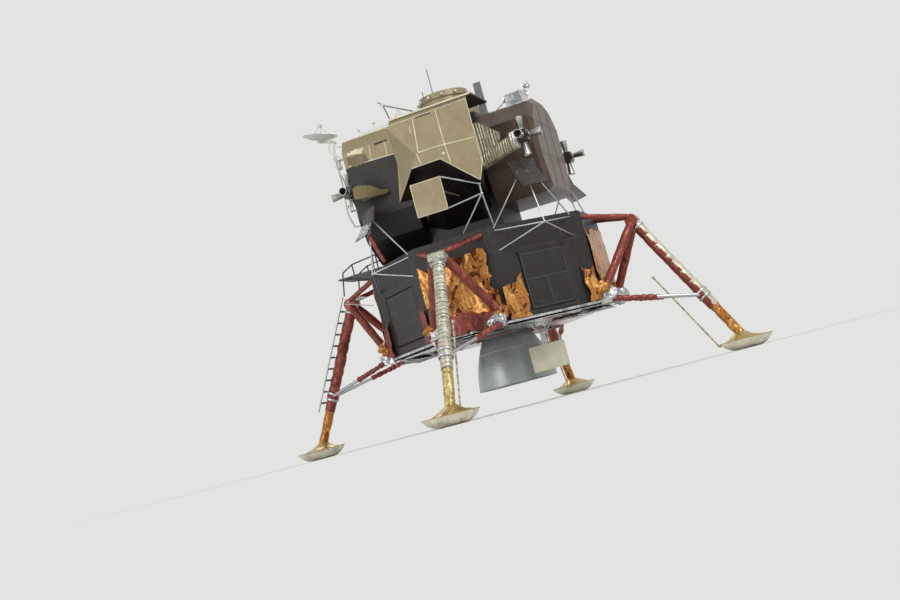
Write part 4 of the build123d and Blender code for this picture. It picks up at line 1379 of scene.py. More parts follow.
@dataclass
class DescentStage(Maker):
    """Panels, film covers and edges of the descent stage.

    Attributes:
        reach: How far the arms reach from the middle.
        half: Half the width of an arm.
        slant: The distance of the bays' slanted faces from the middle line.
        corner: Half the width of a slanted face.
        base_z: The height of the stage's base.
        deck_z: The height of its deck.
        well_r: The radius of the engine's well.
        gold: The gold film's outline on an arm's end, as (level, height).
        red: The outline of the red film below the gold.
        patches: The base's film patches below the port arm, as outlines of (x, y) and finishes.
    """

    reach: float = 2.057
    half: float = 0.686
    slant: float = 1.9396
    corner: float = 0.969
    base_z: float = 1.473
    deck_z: float = 3.124
    well_r: float = 0.590
    gold: list[Flat] = field(default_factory=lambda: [
        (-0.665, 2.80), (-0.50, 2.66), (-0.30, 2.80), (-0.09, 2.82), (0.17, 2.75), (0.40, 2.83), (0.60, 2.79),
        (0.61, 2.50), (0.565, 2.10), (0.665, 2.03), (0.665, 1.60), (0.10, 1.70), (-0.34, 1.86),
        (-0.665, 1.78)])
    red: list[Flat] = field(default_factory=lambda: [
        (-0.665, 1.88), (-0.34, 1.92), (0.10, 1.78), (0.665, 1.66), (0.665, 1.455), (-0.665, 1.455)])
    patches: dict[str, tuple[list[Flat], Finish]] = field(default_factory=lambda: {
        "outer_band": ([(1.62, -0.60), (2.02, -0.62), (2.02, 0.63), (1.60, 0.58)], Finish.BLACK_FILM),
        "red_film": ([(1.02, -0.40), (1.10, -0.62), (1.52, -0.47), (1.50, 0.30), (1.30, 0.42), (0.95, 0.20)],
                     Finish.RED_FILM)})

    def build(self) -> None:
        """Dress the stage's nodes and add its film covers, seams and trims."""
        self.dress()
        for number, (side, degrees) in enumerate(TURNS.items()):
            seed = 100 + 10 * number
            self.fit(self.end_film(f"end_film_{side}", self.gold, 0.030, 0.050, degrees, seed),
                     Finish.GOLD_FILM, "foil_gold")
            self.fit(self.end_film(f"lower_film_{side}", self.red, 0.036, 0.042, degrees, seed + 1),
                     Finish.RED_FILM, "wrap_red")
            self.end_trim(side, degrees)
        for corner in (Corner(1, -1, 200), Corner(1, 1, 210), Corner(-1, -1, 220), Corner(-1, 1, 230)):
            self.fit(self.corner_films(corner),
                     Finish.RED_FILM if corner.name == "port_forward" else Finish.GOLD_FILM, "foil_gold")
            self.bay_seams(corner)
            self.bay_studs(corner)
        self.base_film()
        for number, (side, degrees) in enumerate(TURNS.items()):
            for place, (outline, finish) in self.patches.items():
                self.fit(self.base_patch(f"base_{place}_{side}", outline, degrees, 320 + 7 * number), finish,
                         "foil_silver")
        self.well_film()
        self.base_trims()
        self.deck_seams()
        self.door_fittings()
        self.pallet_fittings()
        self.porch_treads()
        self.bell_rings()
        self.radar_rims()

    def dress(self) -> None:
        """Dress the stage's CAD nodes."""
        self.paint(Finish.BLACK_SHEET, "descent_structure", "bay_forward_port", "bay_aft_port",
                   "bay_forward_starboard", "bay_aft_starboard", "bay_door", "equipment_pallet", "top_deck",
                   "interstage_posts", "arm_end_covers")
        self.paint(Finish.SILVER_FILM, "base_heat_shield")
        self.paint(Finish.DEFLECTOR_SHEET, "plume_deflectors")
        self.paint(Finish.PORCH_PAINT, "porch")
        self.paint(Finish.ALUMINIUM, "deflector_trusses", "radar_bracket", "engine_gimbal_ring")
        self.paint(Finish.NOZZLE, "descent_engine")
        self.paint(Finish.RADAR_FILM, "landing_radar")

    def end_film(self, name: str, outline: list[Flat], proud: float, depth: float, degrees: float,
                 seed: int) -> Piece:
        """Model a crumpled film on one arm's end.

        Args:
            name: The piece's name.
            outline: Its outline on the port arm, as (level, height).
            proud: How far it stands off the arm's structure.
            depth: The depth of its folds.
            degrees: The arm's turn.
            seed: The seed of its folds.

        Returns:
            The film.
        """
        piece = sheet(name, outline, 0.0125, 0.006, 0.022, seed)
        fold(piece, (0.20, depth, seed), (0.06, depth * 0.35, seed + 50))
        settle(piece, quarter(degrees) @ facing((self.reach + proud, 0, 0), (0, 1, 0), (1, 0, 0)))
        smooth(piece, 16)
        return piece

    def end_trim(self, side: str, degrees: float) -> None:
        """Add the seams of the black sheet above the gold film, and the arm's edge strips.

        Args:
            side: The arm's side.
            degrees: The arm's turn.
        """
        face, back = self.reach + 0.0252, self.half + 0.0002
        lines = [((face, -0.68, 3.09), (face, 0.68, 3.09))]
        for level, low in ((-0.23, 2.86), (0.25, 2.86), (-0.675, 2.2), (0.675, 2.1)):
            lines.append(((face, level, low), (face, level, 3.10)))
        parts = [strips("seams", lines, (1, 0, 0), 0.016, 0.005)]
        for edge in (-1, 1):
            parts.append(strip("edge", (self.reach - 0.005, edge * back, 3.118),
                               (self.reach - 0.02, edge * back, 1.5), (0, edge, 0), 0.02, 0.004))
        piece = merge(f"end_trim_{side}", parts)
        settle(piece, quarter(degrees))
        self.fit(piece, Finish.SEAM_SHEET, "panel_black")

    def slanted(self, corner: Corner, proud: float) -> Matrix:
        """Return the placement of a slanted face: x level, y up, z out of the stage.

        Args:
            corner: The corner.
            proud: How far it stands off the stage.

        Returns:
            The placement.
        """
        out = Vector((corner.x, corner.y, 0)).normalized()
        level = Vector((0, 0, 1)).cross(out)
        origin = out * (self.slant + proud)
        return Matrix.Translation(origin) @ Matrix((level, Vector((0, 0, 1)), out)).transposed().to_4x4()

    def bars(self, name: str, place: Matrix, lines: list[tuple[float, ...]], width: float = 0.016) -> Piece:
        """Model low bars along lines drawn on a slanted face.

        Args:
            name: The piece's name.
            place: The face's placement.
            lines: Each bar's two ends, as (x, y, x, y).
            width: The bars' width.

        Returns:
            The joined bars.
        """
        ends = [((x0, y0, 0), (x1, y1, 0)) for x0, y0, x1, y1 in lines]
        piece = strips(name, ends, (0, 0, 1), width, 0.004)
        settle(piece, place)
        return piece

    def corner_films(self, corner: Corner) -> Piece:
        """Model the film that comes round from the two neighbouring arms on to a slanted face.

        Args:
            corner: The bay.

        Returns:
            The joined films.
        """
        wide = [(-0.955, 2.07), (-0.66, 2.10), (-0.525, 2.26), (-0.53, 2.06), (-0.495, 1.76), (-0.52, 1.48),
                (-0.955, 1.48)]
        narrow = [(-0.955, 2.12), (-0.86, 2.02), (-0.72, 2.10), (-0.71, 1.8), (-0.75, 1.62), (-0.70, 1.49),
                  (-0.955, 1.48)]
        mirrored = [(-along, up) for along, up in narrow]
        parts = []
        for number, outline in enumerate((wide if corner.name == "port_aft" else narrow, mirrored)):
            seed = corner.seed + number
            piece = sheet("corner", outline, 0.012, 0.006, 0.014, seed)
            fold(piece, (0.13, 0.045, seed), (0.05, 0.014, seed + 5))
            settle(piece, self.slanted(corner, 0.026))
            parts.append(piece)
        piece = merge(f"corner_films_{corner.name}", parts)
        smooth(piece, 16)
        return piece

    def bay_seams(self, corner: Corner) -> None:
        """Add the seams between the sheets of a slanted face.

        Args:
            corner: The bay.
        """
        wide = 0.62 if corner.name == "port_forward" else 0.47
        beside, above, eave = wide + 0.03, 2.66 if corner.x > 0 else 2.59, 3.06
        lines = [(-0.96, eave, 0.96, eave), (-0.96, above, 0.96, above), (-beside, 1.50, -beside, eave),
                 (beside, 1.50, beside, eave), (-wide, 1.535, wide, 1.535), (0.0, above, 0.0, eave)]
        if corner.x < 0:
            lines += [(-0.44, 2.05, 0.44, 2.05), (0.0, 1.54, 0.0, 2.59), (-0.22, 2.05, -0.22, 2.59)]
        piece = self.bars(f"bay_seams_{corner.name}", self.slanted(corner, 0.0002), lines, 0.018)
        self.fit(piece, Finish.SEAM_SHEET, "panel_black")

    def bay_studs(self, corner: Corner) -> None:
        """Add the fasteners along a slanted face's upper sheets.

        Args:
            corner: The bay.
        """
        place = self.slanted(corner, 0.0)
        spots = [(0.1 * step, height) for step in range(-9, 10) for height in (3.035, 2.69)]
        spots += [(side * 0.92, 2.75 + 0.08 * step) for side in (-1, 1) for step in range(4)]
        model = stud("stud", 0.008, 0.004)
        places = [place @ Matrix.Translation((x, y, 0)) for x, y in spots]
        self.fit(scatter(f"bay_studs_{corner.name}", model, places), Finish.DARK_METAL, "bare_metal")

    def octagon(self, name: str, size: float, count: int, inner: float) -> Piece:
        """Model a flat octagon like the stage's base, with a round hole.

        Args:
            name: The piece's name.
            size: How far it reaches along the arms.
            count: The number of its faces along a side.
            inner: The radius of its hole.

        Returns:
            The octagon, in the XY plane.
        """
        piece = shape(name, "grid", x_subdivisions=count, y_subdivisions=count, size=2 * size)
        mode("EDIT")
        for x_sign in (-1, 1):
            for y_sign in (-1, 1):
                bpy.ops.mesh.select_all(action="SELECT")
                out = Vector((x_sign, y_sign, 0)).normalized()
                bpy.ops.mesh.bisect(plane_co=out * (self.slant - 0.01), plane_no=out, clear_outer=True)
        pick(piece, "FACE", lambda face: face.calc_center_median().xy.length < inner)
        bpy.ops.mesh.delete(type="FACE")
        mode("OBJECT")
        return piece

    def base_film(self) -> None:
        """Add the crumpled film below the base, with the engine's hole."""
        piece = self.octagon("base_film", self.reach - 0.01, 150, self.well_r + 0.02)
        solidify = piece.modifiers.new("thickness", "SOLIDIFY")
        solidify.thickness = 0.008
        bpy.ops.object.modifier_apply(modifier="thickness")
        fold(piece, (0.26, 0.045, 301), (0.08, 0.014, 302), middle=1.0)
        settle(piece, Matrix.Translation((0, 0, self.base_z - 0.045)))
        smooth(piece, 16)
        self.fit(piece, Finish.SILVER_FILM, "foil_silver")

    def base_patch(self, name: str, outline: list[Flat], degrees: float, seed: int) -> Piece:
        """Model a film patch hung below the base.

        Args:
            name: The piece's name.
            outline: Its outline below the port arm, as (x, y).
            degrees: The arm's turn.
            seed: The seed of its folds.

        Returns:
            The patch.
        """
        piece = sheet(name, [(x, -y) for x, y in outline], 0.013, 0.006, 0.02, seed)
        fold(piece, (0.15, 0.040, seed), (0.05, 0.012, seed + 3))
        settle(piece, quarter(degrees) @ facing((0, 0, self.base_z - 0.088), (1, 0, 0), (0, 0, -1)))
        smooth(piece, 16)
        return piece

    def well_film(self) -> None:
        """Add the ring of red film gathered round the engine's well."""
        piece = hoop("well_film", Matrix.Identity(4), self.well_r + 0.075, 0.042, 0.7, 260, 22)
        crumple(piece, 0.09, 0.045, 311)
        settle(piece, Matrix.Translation((0, 0, self.base_z - 0.078)))
        smooth(piece, 18)
        self.fit(piece, Finish.RED_FILM, "wrap_red")

    def base_trims(self) -> None:
        """Add the bright strips that hold the base's film along the arms' ends."""
        low = self.base_z - 0.125
        parts = []
        for degrees in TURNS.values():
            for out, half, wide in ((2.035, 0.64, 0.03), (1.565, 0.55, 0.07), (0.93, 0.45, 0.06)):
                start, end = (out, -half, low), (out - 0.01, half, low + 0.004)
                piece = strip("trim", start, end, (0, 0, -1), wide, 0.006)
                settle(piece, quarter(degrees))
                parts.append(piece)
        self.fit(merge("base_film_strips", parts), Finish.ALUMINIUM, "bare_metal")

    def deck_seams(self) -> None:
        """Add the seams of the top deck."""
        top = self.deck_z + 0.0162
        lines = [((x, -0.66, top), (x, 0.66, top)) for x in (0.80, 1.42, 2.03)]
        lines += [((0.80, y, top), (2.03, y, top)) for y in (-0.64, 0.64)]
        lines.append(((0.72, 0.72, top), (1.34, 1.34, top)))
        parts = []
        for degrees in TURNS.values():
            parts.append(strips("seams", lines, (0, 0, 1), 0.02, 0.004))
            settle(parts[-1], quarter(degrees))
        self.fit(merge("deck_seams", parts), Finish.SEAM_SHEET, "panel_black")

    def door_fittings(self) -> None:
        """Add the frame, ribs and two handles on the bay door."""
        place = self.slanted(Corner(1, 1), 0.0282)
        parts = [self.bars("frame", place, [
            (-0.43, 1.60, 0.43, 1.60), (-0.43, 2.55, 0.43, 2.55), (-0.43, 1.60, -0.43, 2.55),
            (0.43, 1.60, 0.43, 2.55), (-0.43, 2.10, 0.43, 2.10), (0.0, 1.60, 0.0, 2.10)])]
        for side in (-0.28, 0.28):
            low, high = side - 0.05, side + 0.05
            spots = [(low, 1.66, 0.0), (low, 1.66, 0.03), (high, 1.66, 0.03), (high, 1.66, 0.0)]
            parts.append(rod("handle", [place @ Vector(spot) for spot in spots], 0.006, 8))
        self.fit(merge("door_fittings", parts), Finish.DARK_METAL, "bare_metal", "bay_door")

    def pallet_fittings(self) -> None:
        """Add the ribs and straps on the equipment pallet's outer face."""
        upright = [(x, 1.70, x, 2.50) for x in (-0.56, -0.19, 0.19, 0.56)]
        level = [(-0.56, y, 0.56, y) for y in (1.70, 1.97, 2.24, 2.50)]
        piece = self.bars("pallet_fittings", self.slanted(Corner(1, -1), -0.0038), upright + level)
        self.fit(piece, Finish.DARK_METAL, "bare_metal", "equipment_pallet")

    def porch_treads(self) -> None:
        """Add the ridges across the porch."""
        ridges = [-1.90 - 0.075 * number for number in range(12)]
        lines = [((-0.36, y, 3.2452), (0.36, y, 3.2452)) for y in ridges]
        self.fit(strips("porch_ridges", lines, (0, 0, 1), 0.02, 0.006), Finish.SEAM_SHEET, "panel_black")

    def bell_rings(self) -> None:
        """Add the stiffening rings and the rolled lip of the engine bell."""
        parts = [hoop("lip", Matrix.Translation((0, 0, 0.447)), 0.742, 0.007, 1.0, 128, 8)]
        for height, radius in ((0.85, 0.6765), (1.10, 0.593)):
            parts.append(hoop("ring", Matrix.Translation((0, 0, height)), radius, 0.004, 2.5, 128, 8))
        self.fit(merge("bell_rings", parts), Finish.NOZZLE, "nozzle_grey", "descent_engine")

    def radar_rims(self) -> None:
        """Add the pale tape along the landing radar's edges, its paleness partly a painted highlight."""
        x0, x1 = 0.778, 0.902
        y0, y1, z0, z1 = 0.60, 1.22, 0.53, 0.97
        parts = []
        for x in (x0 + 0.002, x1 - 0.002):
            out = (1, 0, 0) if x > 0.8 else (-1, 0, 0)
            edges = [((x, y0, z), (x, y1, z)) for z in (z0, z1)]
            edges += [((x, y, z0), (x, y, z1)) for y in (y0, y1)]
            parts.append(strips("tape", edges, out, 0.016, 0.003))
            for y in (0.76, 0.91, 1.06):
                parts.append(strip("seam", (x, y, z0 + 0.02), (x, y, z1 - 0.02), out, 0.006, 0.002))
        self.fit(merge("radar_edge_tapes", parts), Finish.PALE_TAPE, "film_tan", "landing_radar")


@dataclass
class AscentStage(Maker):
    """Panels, ribs, booms and fittings of the ascent stage.

    Attributes:
        port_x: The port tank bay's outer face.
        starboard_x: The starboard one's.
        cabin_x: Half the cabin's width.
        front_y: The cabin's front face.
        ribs: The port face's ribs, as pairs of (y, z).
    """

    port_x: float = 2.470
    starboard_x: float = -1.820
    cabin_x: float = 1.170
    front_y: float = -1.838
    ribs: list[tuple[Flat, Flat]] = field(default_factory=lambda: [
        ((0.50, 5.250), (0.51, 4.64)), ((0.51, 4.64), (0.535, 4.29)), ((0.07, 5.240), (0.02, 4.66)),
        ((0.02, 4.65), (0.51, 4.645)), ((0.51, 4.64), (1.05, 4.60)), ((-0.02, 4.64), (0.02, 4.45))])

    def build(self) -> None:
        """Dress the stage's nodes and add its ribs, wraps and fittings."""
        self.dress()
        self.tank_bays()
        self.cabin_side()
        self.cabin_front()
        self.roof()
        self.aft_bay()
        self.booms()
        self.quads()
        self.shield_plate()
        self.red_sleeve()

    def dress(self) -> None:
        """Dress the stage's CAD nodes."""
        self.paint(Finish.CABIN_SKIN, "cabin_shell", "cabin_front")
        self.paint(Finish.TANK_SKIN, "tank_bay_port", "tank_bay_starboard")
        self.paint(Finish.TAN_SHEET, "midsection_roof", "docking_tunnel", "tank_shield_plate")
        self.paint(Finish.BLACK_SHEET, "midsection_floor", "midsection_walls", "forward_hatch",
                   "overhead_hatch")
        self.paint(Finish.PLEATED_FILM, "quad_booms")
        self.paint(Finish.BROWN_SHEET, "aft_equipment_bay")
        self.paint(Finish.GREY_PAINT, "instrument_panels")
        self.paint(Finish.QUAD_ALLOY, "thruster_quads")
        self.paint(Finish.NOZZLE, "ascent_engine")
        self.paint(Finish.GLASS, "window_panes")
        self.paint(Finish.GREY_PAINT, "roof_aerials")
        self.paint(Finish.SILVER_FILM, "aft_roof_fixture")

    def tank_bays(self) -> None:
        """Add the ribs, seams, caps and pale edge tapes of the two tank bays, their paleness partly painted
        highlight, with a pale slash of painted highlight and a black slot of painted shade on the port face.
        """
        edge = [(-0.43, 5.255), (1.07, 5.278), (1.07, 4.14), (0.96, 3.87), (0.37, 4.43), (-0.17, 4.42)]
        for name, x, sign in (("port", self.port_x, 1), ("starboard", self.starboard_x, -1)):
            face = x + sign * 0.0002
            ribs = [((face, *low), (face, *high)) for low, high in self.ribs]
            edges = [((face, *low), (face, *high)) for low, high in zip(edge, edge[1:])]
            parts = [strips("ribs", ribs, (sign, 0, 0), 0.020, 0.009),
                     strips("edges", edges, (sign, 0, 0), 0.012, 0.004)]
            self.fit(merge(f"tank_face_ribs_{name}", parts), Finish.PALE_TAPE, "film_tan")
            model = stud("cap", 0.026, 0.012)
            places = [facing((face, y, z), (0, 1, 0), (sign, 0, 0)) for y, z in ((0.45, 4.50), (0.51, 4.64))]
            self.fit(scatter(f"tank_face_caps_{name}", model, places), Finish.WHITE_PAINT, "dish_white")
            model = stud("stud", 0.006, 0.003)
            spots = [(y, 5.20) for y in np.arange(-0.36, 1.04, 0.1)]
            spots += [(1.03, z) for z in np.arange(4.3, 5.2, 0.1)]
            places = [facing((face, float(y), float(z)), (0, 1, 0), (sign, 0, 0)) for y, z in spots]
            self.fit(scatter(f"tank_face_studs_{name}", model, places), Finish.TAN_SHEET, "film_tan")
        face = self.port_x + 0.0002
        # A pale slash painted as a highlight where two facets of the face meet
        highlight_slash = strip("tank_face_painted_highlight", (face, -0.03, 5.02), (face, -0.015, 5.14), (1, 0, 0), 0.016, 0.003)
        self.fit(highlight_slash, Finish.PALE_TAPE, "film_tan")
        # A black strip painted as the shade in the gap below the eave
        slot = strip("tank_face_slot_painted_shade", (face, 0.12, 5.238), (face, 0.40, 5.243), (1, 0, 0), 0.016, 0.004)
        self.fit(slot, Finish.BLACK_SHEET, "panel_black")
        fascia = plate("eave_fascia", [(-0.405, 5.252), (1.068, 5.276), (1.10, 5.330), (-0.355, 5.330)],
                       0.010)
        side_on(fascia, self.port_x - 0.016)
        self.fit(fascia, Finish.TAN_SHEET, "film_tan")
        lips = [strip("lip", (2.4952, -0.355, 5.344), (2.4952, 1.175, 5.344), (1, 0, 0), 0.030, 0.003),
                strip("lip", (2.49, -0.3602, 5.344), (1.51, -0.3602, 5.344), (0, -1, 0), 0.030, 0.003)]
        self.fit(merge("eave_lips", lips), Finish.PALE_TAPE, "film_tan")

    def cabin_side(self) -> None:
        """Add the film, the olive patches of painted shade, the black slot painted as shade, and the rods of
        the cabin's two sides.
        """
        for name, sign in SIDES.items():
            x = sign * (self.cabin_x + 0.0003)
            out, lean = (sign, 0, 0), (sign * 0.23, 0, 0.16)
            # An olive sheet of painted shade on the cabin's side, below the roof
            shade_patch = sheet(f"cabin_painted_shade_patch_{name}", [
                (-1.76, 5.27), (-1.40, 5.24), (-1.37, 5.09), (-1.62, 5.05), (-1.75, 5.12)],
                          0.012, 0.003, 0.01, 401)
            fold(shade_patch, (0.08, 0.010, 402))
            side_on(shade_patch, x, sign)
            smooth(shade_patch, 20)
            self.fit(shade_patch, Finish.PAINTED_SHADE_SHEET, "film_tan")
            edge_x = sign * 1.012
            tapes = [strip("tape", (x, -1.77, 5.10), (x, -0.72, 5.06), out, 0.018, 0.005),
                     strip("tape", (x, -1.30, 5.09), (x, -1.28, 5.37), out, 0.014, 0.004),
                     strip("tape", (x, -0.98, 5.08), (x, -0.97, 5.37), out, 0.014, 0.004),
                     strip("tape", (edge_x, -1.76, 5.6105), (edge_x, -0.73, 5.6105), lean, 0.035, 0.008)]
            self.fit(merge(f"cabin_side_tapes_{name}", tapes), Finish.PALE_TAPE, "film_tan")
            low_x = sign * 1.1705
            dark = [((x, -1.24, 4.10), (x, -1.24, 5.06)), ((x, -1.77, 4.55), (x, -0.72, 4.55)),
                    ((low_x, -1.77, 4.06), (low_x, -0.72, 4.06))]
            seams = strips(f"cabin_side_seams_{name}", dark, out, 0.016, 0.004)
            self.fit(seams, Finish.SEAM_SHEET, "panel_black")
            # A black strip painted as the shade in a slot
            slot = strip(f"cabin_slot_painted_shade_{name}", (x, -1.17, 5.345), (x, -0.92, 5.355), out, 0.034, 0.004)
            self.fit(slot, Finish.BLACK_SHEET, "panel_black")
            bit = sheet(f"cabin_side_film_{name}", [
                (-1.74, 5.29), (-1.45, 5.26), (-1.38, 5.34), (-1.52, 5.37), (-1.74, 5.35)],
                        0.011, 0.003, 0.012, 410)
            fold(bit, (0.06, 0.014, 411))
            side_on(bit, x, sign)
            smooth(bit, 20)
            self.fit(bit, Finish.PALE_TAPE, "film_tan")
            kerb = plate("kerb", [(-1.50, 5.60), (-0.72, 5.60), (-0.72, 5.690), (-1.42, 5.690)], 0.028, 0.004)
            side_on(kerb, sign * 0.990 - 0.014)
            parts, knob_x = [kerb], sign * 0.965
            for y, top in ((-1.155, 5.785), (-1.472, 5.745)):
                parts.append(rod("post", [(knob_x, y, 5.60), (knob_x, y, top)], 0.012, 10))
                parts.append(lump("knob", (knob_x, y, top), (0.034, 0.034, 0.028), 0.004, 421))
            self.fit(merge(f"roof_edge_kerb_{name}", parts), Finish.WHITE_PAINT, "dish_white")

    def cabin_front(self) -> None:
        """Add the handrails, window frames, hatch fittings and seams of the front face."""
        rail = [(-1.842, 5.54), (-2.011, 5.60), (-2.05, 5.508), (-2.056, 5.229), (-2.044, 5.022),
                (-2.064, 4.625), (-2.082, 4.43), (-2.085, 4.257), (-2.016, 4.023), (-1.842, 4.0)]
        for name, sign in SIDES.items():
            x = sign * 0.985
            parts = [rod("rail", [(x, y, z) for y, z in rail], 0.016)]
            for z in (5.022, 4.43):
                parts.append(rod("standoff", [(x, -2.05, z), (x, -1.842, z)], 0.010))
                clip = between((x, -2.052, z - 0.03), (x, -2.052, z + 0.03))
                parts.append(hoop("clip", clip, 0.018, 0.007, 3.0, 20, 8))
            self.fit(merge(f"front_rail_{name}", parts), Finish.WHITE_PAINT, "dish_white")
        for name, sign in SIDES.items():
            along = Vector((0.780, sign * 0.192, 0)).normalized()
            out = Vector((sign * 0.192, -0.780, 0)).normalized()
            origin = Vector((sign * 0.230, -2.030, 4.970)) + out * 0.0004
            corners = [(0.070, 0.190), (0.640, 0.140), (0.170, -0.230)]
            points = [origin + along * (sign * u) + Vector((0, 0, v)) for u, v in corners]
            parts = [strip("frame", points[i], points[(i + 1) % 3], out, 0.030, 0.010) for i in range(3)]
            for point in points:
                dot = stud("bolt", 0.011, 0.014)
                settle(dot, facing(point, (0, 0, 1), out))
                parts.append(dot)
            self.fit(merge(f"window_frame_{name}", parts), Finish.DARK_METAL, "bare_metal")
        y = self.front_y - 0.0002
        frame = [((-0.43, y, z), (0.43, y, z)) for z in (4.305, 3.465)]
        frame += [((x, y, 3.47), (x, y, 4.30)) for x in (-0.425, 0.425)]
        self.fit(strips("hatch_frame", frame, (0, -1, 0), 0.036, 0.008), Finish.SEAM_SHEET, "panel_black")
        seams = [((-0.9, y, 5.36), (0.9, y, 5.36)), ((0.0, y, 5.36), (0.0, y, 5.58))]
        for hand in (-1, 1):
            for x0, z0, x1, z1 in (
                    (1.10, 4.66, 0.46, 4.33), (0.62, 3.30, 0.62, 4.28), (0.46, 4.05, 1.12, 4.05)):
                seams.append(((hand * x0, y, z0), (hand * x1, y, z1)))
        self.fit(strips("front_seams", seams, (0, -1, 0), 0.016, 0.004), Finish.SEAM_SHEET, "panel_black")
        y = -1.8302
        ribs = [((-0.33, y, z), (0.33, y, z)) for z in (3.60, 4.17)]
        ribs += [((x, y, 3.60), (x, y, 4.17)) for x in (-0.33, 0.33)]
        grip = [(0.27, y, 3.80), (0.27, y - 0.045, 3.80), (0.27, y - 0.045, 3.97), (0.27, y, 3.97)]
        parts = [strips("ribs", ribs, (0, -1, 0), 0.022, 0.006), rod("handle", grip, 0.009)]
        self.fit(merge("hatch_fittings", parts), Finish.DARK_METAL, "bare_metal", "forward_hatch")

    def roof(self) -> None:
        """Add the seams, tapes and docking latches of the roof."""
        cabin, mid = 5.6102, 5.6002
        lines = [((-0.98, -1.30, cabin), (0.36, -1.30, cabin))]
        lines += [((x, -1.75, cabin), (x, -0.72, cabin)) for x in (0.0, -0.60, 0.66)]
        lines += [((-0.66, y, mid), (0.66, y, mid)) for y in (-0.60, 0.60)]
        lines += [((x, -0.66, mid), (x, 0.66, mid)) for x in (-0.62, 0.62)]
        self.fit(strips("roof_seams", lines, (0, 0, 1), 0.020, 0.004), Finish.PALE_TAPE, "film_tan")
        corners = [(0.37, -1.51, cabin), (0.57, -1.51, cabin), (0.57, -1.14, cabin), (0.37, -1.14, cabin)]
        frame = list(zip(corners, corners[1:] + corners[:1]))
        self.fit(strips("roof_window_frame", frame, (0, 0, 1), 0.026, 0.010), Finish.DARK_METAL, "bare_metal")
        latches = []
        for number in range(12):
            turn = Matrix.Rotation(math.radians(30 * number + 15), 4, "Z")
            latch = plate("latch", [(-0.028, -0.022), (0.028, -0.022), (0.028, 0.022), (-0.028, 0.022)],
                          0.05, 0.006)
            settle(latch, turn @ facing((0.4815, 0, 6.015), (0, 0, 1), (1, 0, 0)))
            latches.append(latch)
        latches.append(hoop("seat", Matrix.Translation((0, 0, 6.0745)), 0.458, 0.0075, 1.0, 96, 8))
        self.fit(merge("docking_latches", latches), Finish.ALUMINIUM, "bare_metal")
        band = hoop("tunnel_band", Matrix.Translation((0, 0, 5.66)), 0.447, 0.006, 3.0, 96, 8)
        self.fit(band, Finish.DARK_METAL, "bare_metal")

    def aft_bay(self) -> None:
        """Add the aft bay's seams and the foil on the roof fixture beside it."""
        y = 1.7702
        lines = [((x, y, 3.75), (x, y, 5.30)) for x in (-0.30, 0.30)]
        lines += [((-reach, y, z), (reach, y, z)) for reach, z in ((0.88, 4.30), (0.86, 4.92))]
        parts = [strips("seams", lines, (0, 1, 0), 0.014, 0.004)]
        for sign in (-1, 1):
            x = sign * 1.0063
            parts.append(strip("seam", (x, 1.20, 4.25), (x, 1.20, 4.98), (sign, 0, 0), 0.014, 0.004))
        self.fit(merge("aft_bay_seams", parts), Finish.BROWN_SHEET, "panel_black")
        model = stud("stud", 0.006, 0.003)
        spots = [(x, z) for x in np.arange(-0.8, 0.81, 0.2) for z in (4.33, 4.95)]
        places = [facing((float(x), y, float(z)), (1, 0, 0), (0, 1, 0)) for x, z in spots]
        self.fit(scatter("aft_bay_studs", model, places), Finish.DARK_METAL, "bare_metal")
        wads = [lump("wad", (0.52, 1.50, 5.50), (0.105, 0.23, 0.085), 0.075, 431),
                lump("wad", (0.57, 1.74, 5.63), (0.05, 0.07, 0.06), 0.05, 432)]
        self.fit(merge("roof_fixture_film", wads), Finish.SILVER_FILM, "foil_silver")

    def sleeve(self, name: str, ends: list[tuple[float, ...]], sign: int, grow: float, pleats: float,
               seed: int) -> Piece:
        """Model a pleated film sleeve round a boom of changing section.

        Args:
            name: The piece's name.
            ends: The boom's two sections, as (x, y, z, width, height).
            sign: 1 to port, -1 to starboard.
            grow: How far it stands off the boom.
            pleats: The pleats' pitch.
            seed: The seed of its folds.

        Returns:
            The sleeve.
        """
        (x0, y0, z0, w0, h0), (x1, y1, z1, w1, h1) = ends
        length = abs(y1 - y0)
        piece = shape(name, "cylinder", vertices=36, radius=0.5, depth=1.0)
        mode("EDIT")
        pick(piece, "EDGE", climbs(0.5))
        bpy.ops.mesh.subdivide(number_cuts=max(10, int(length / pleats * 4)))
        mode("OBJECT")
        for vertex in piece.data.vertices:
            share = vertex.co.z + 0.5
            side, up = vertex.co.x * 2, vertex.co.y * 2
            square = max(abs(side), abs(up), 1e-6)
            swell = 0.55 * square + 0.45
            side, up = side / square * swell, up / square * swell
            bulge = grow + 0.010 * abs(math.sin(math.pi * share * length / pleats))
            width = (w0 + (w1 - w0) * share) / 2 + bulge
            height = (h0 + (h1 - h0) * share) / 2 + bulge
            vertex.co = (sign * (x0 + (x1 - x0) * share) + side * width, y0 + (y1 - y0) * share,
                         z0 + (z1 - z0) * share + up * height)
        outward(piece)
        crumple(piece, 0.06, 0.012, seed, 0.3)
        smooth(piece, 24)
        return piece

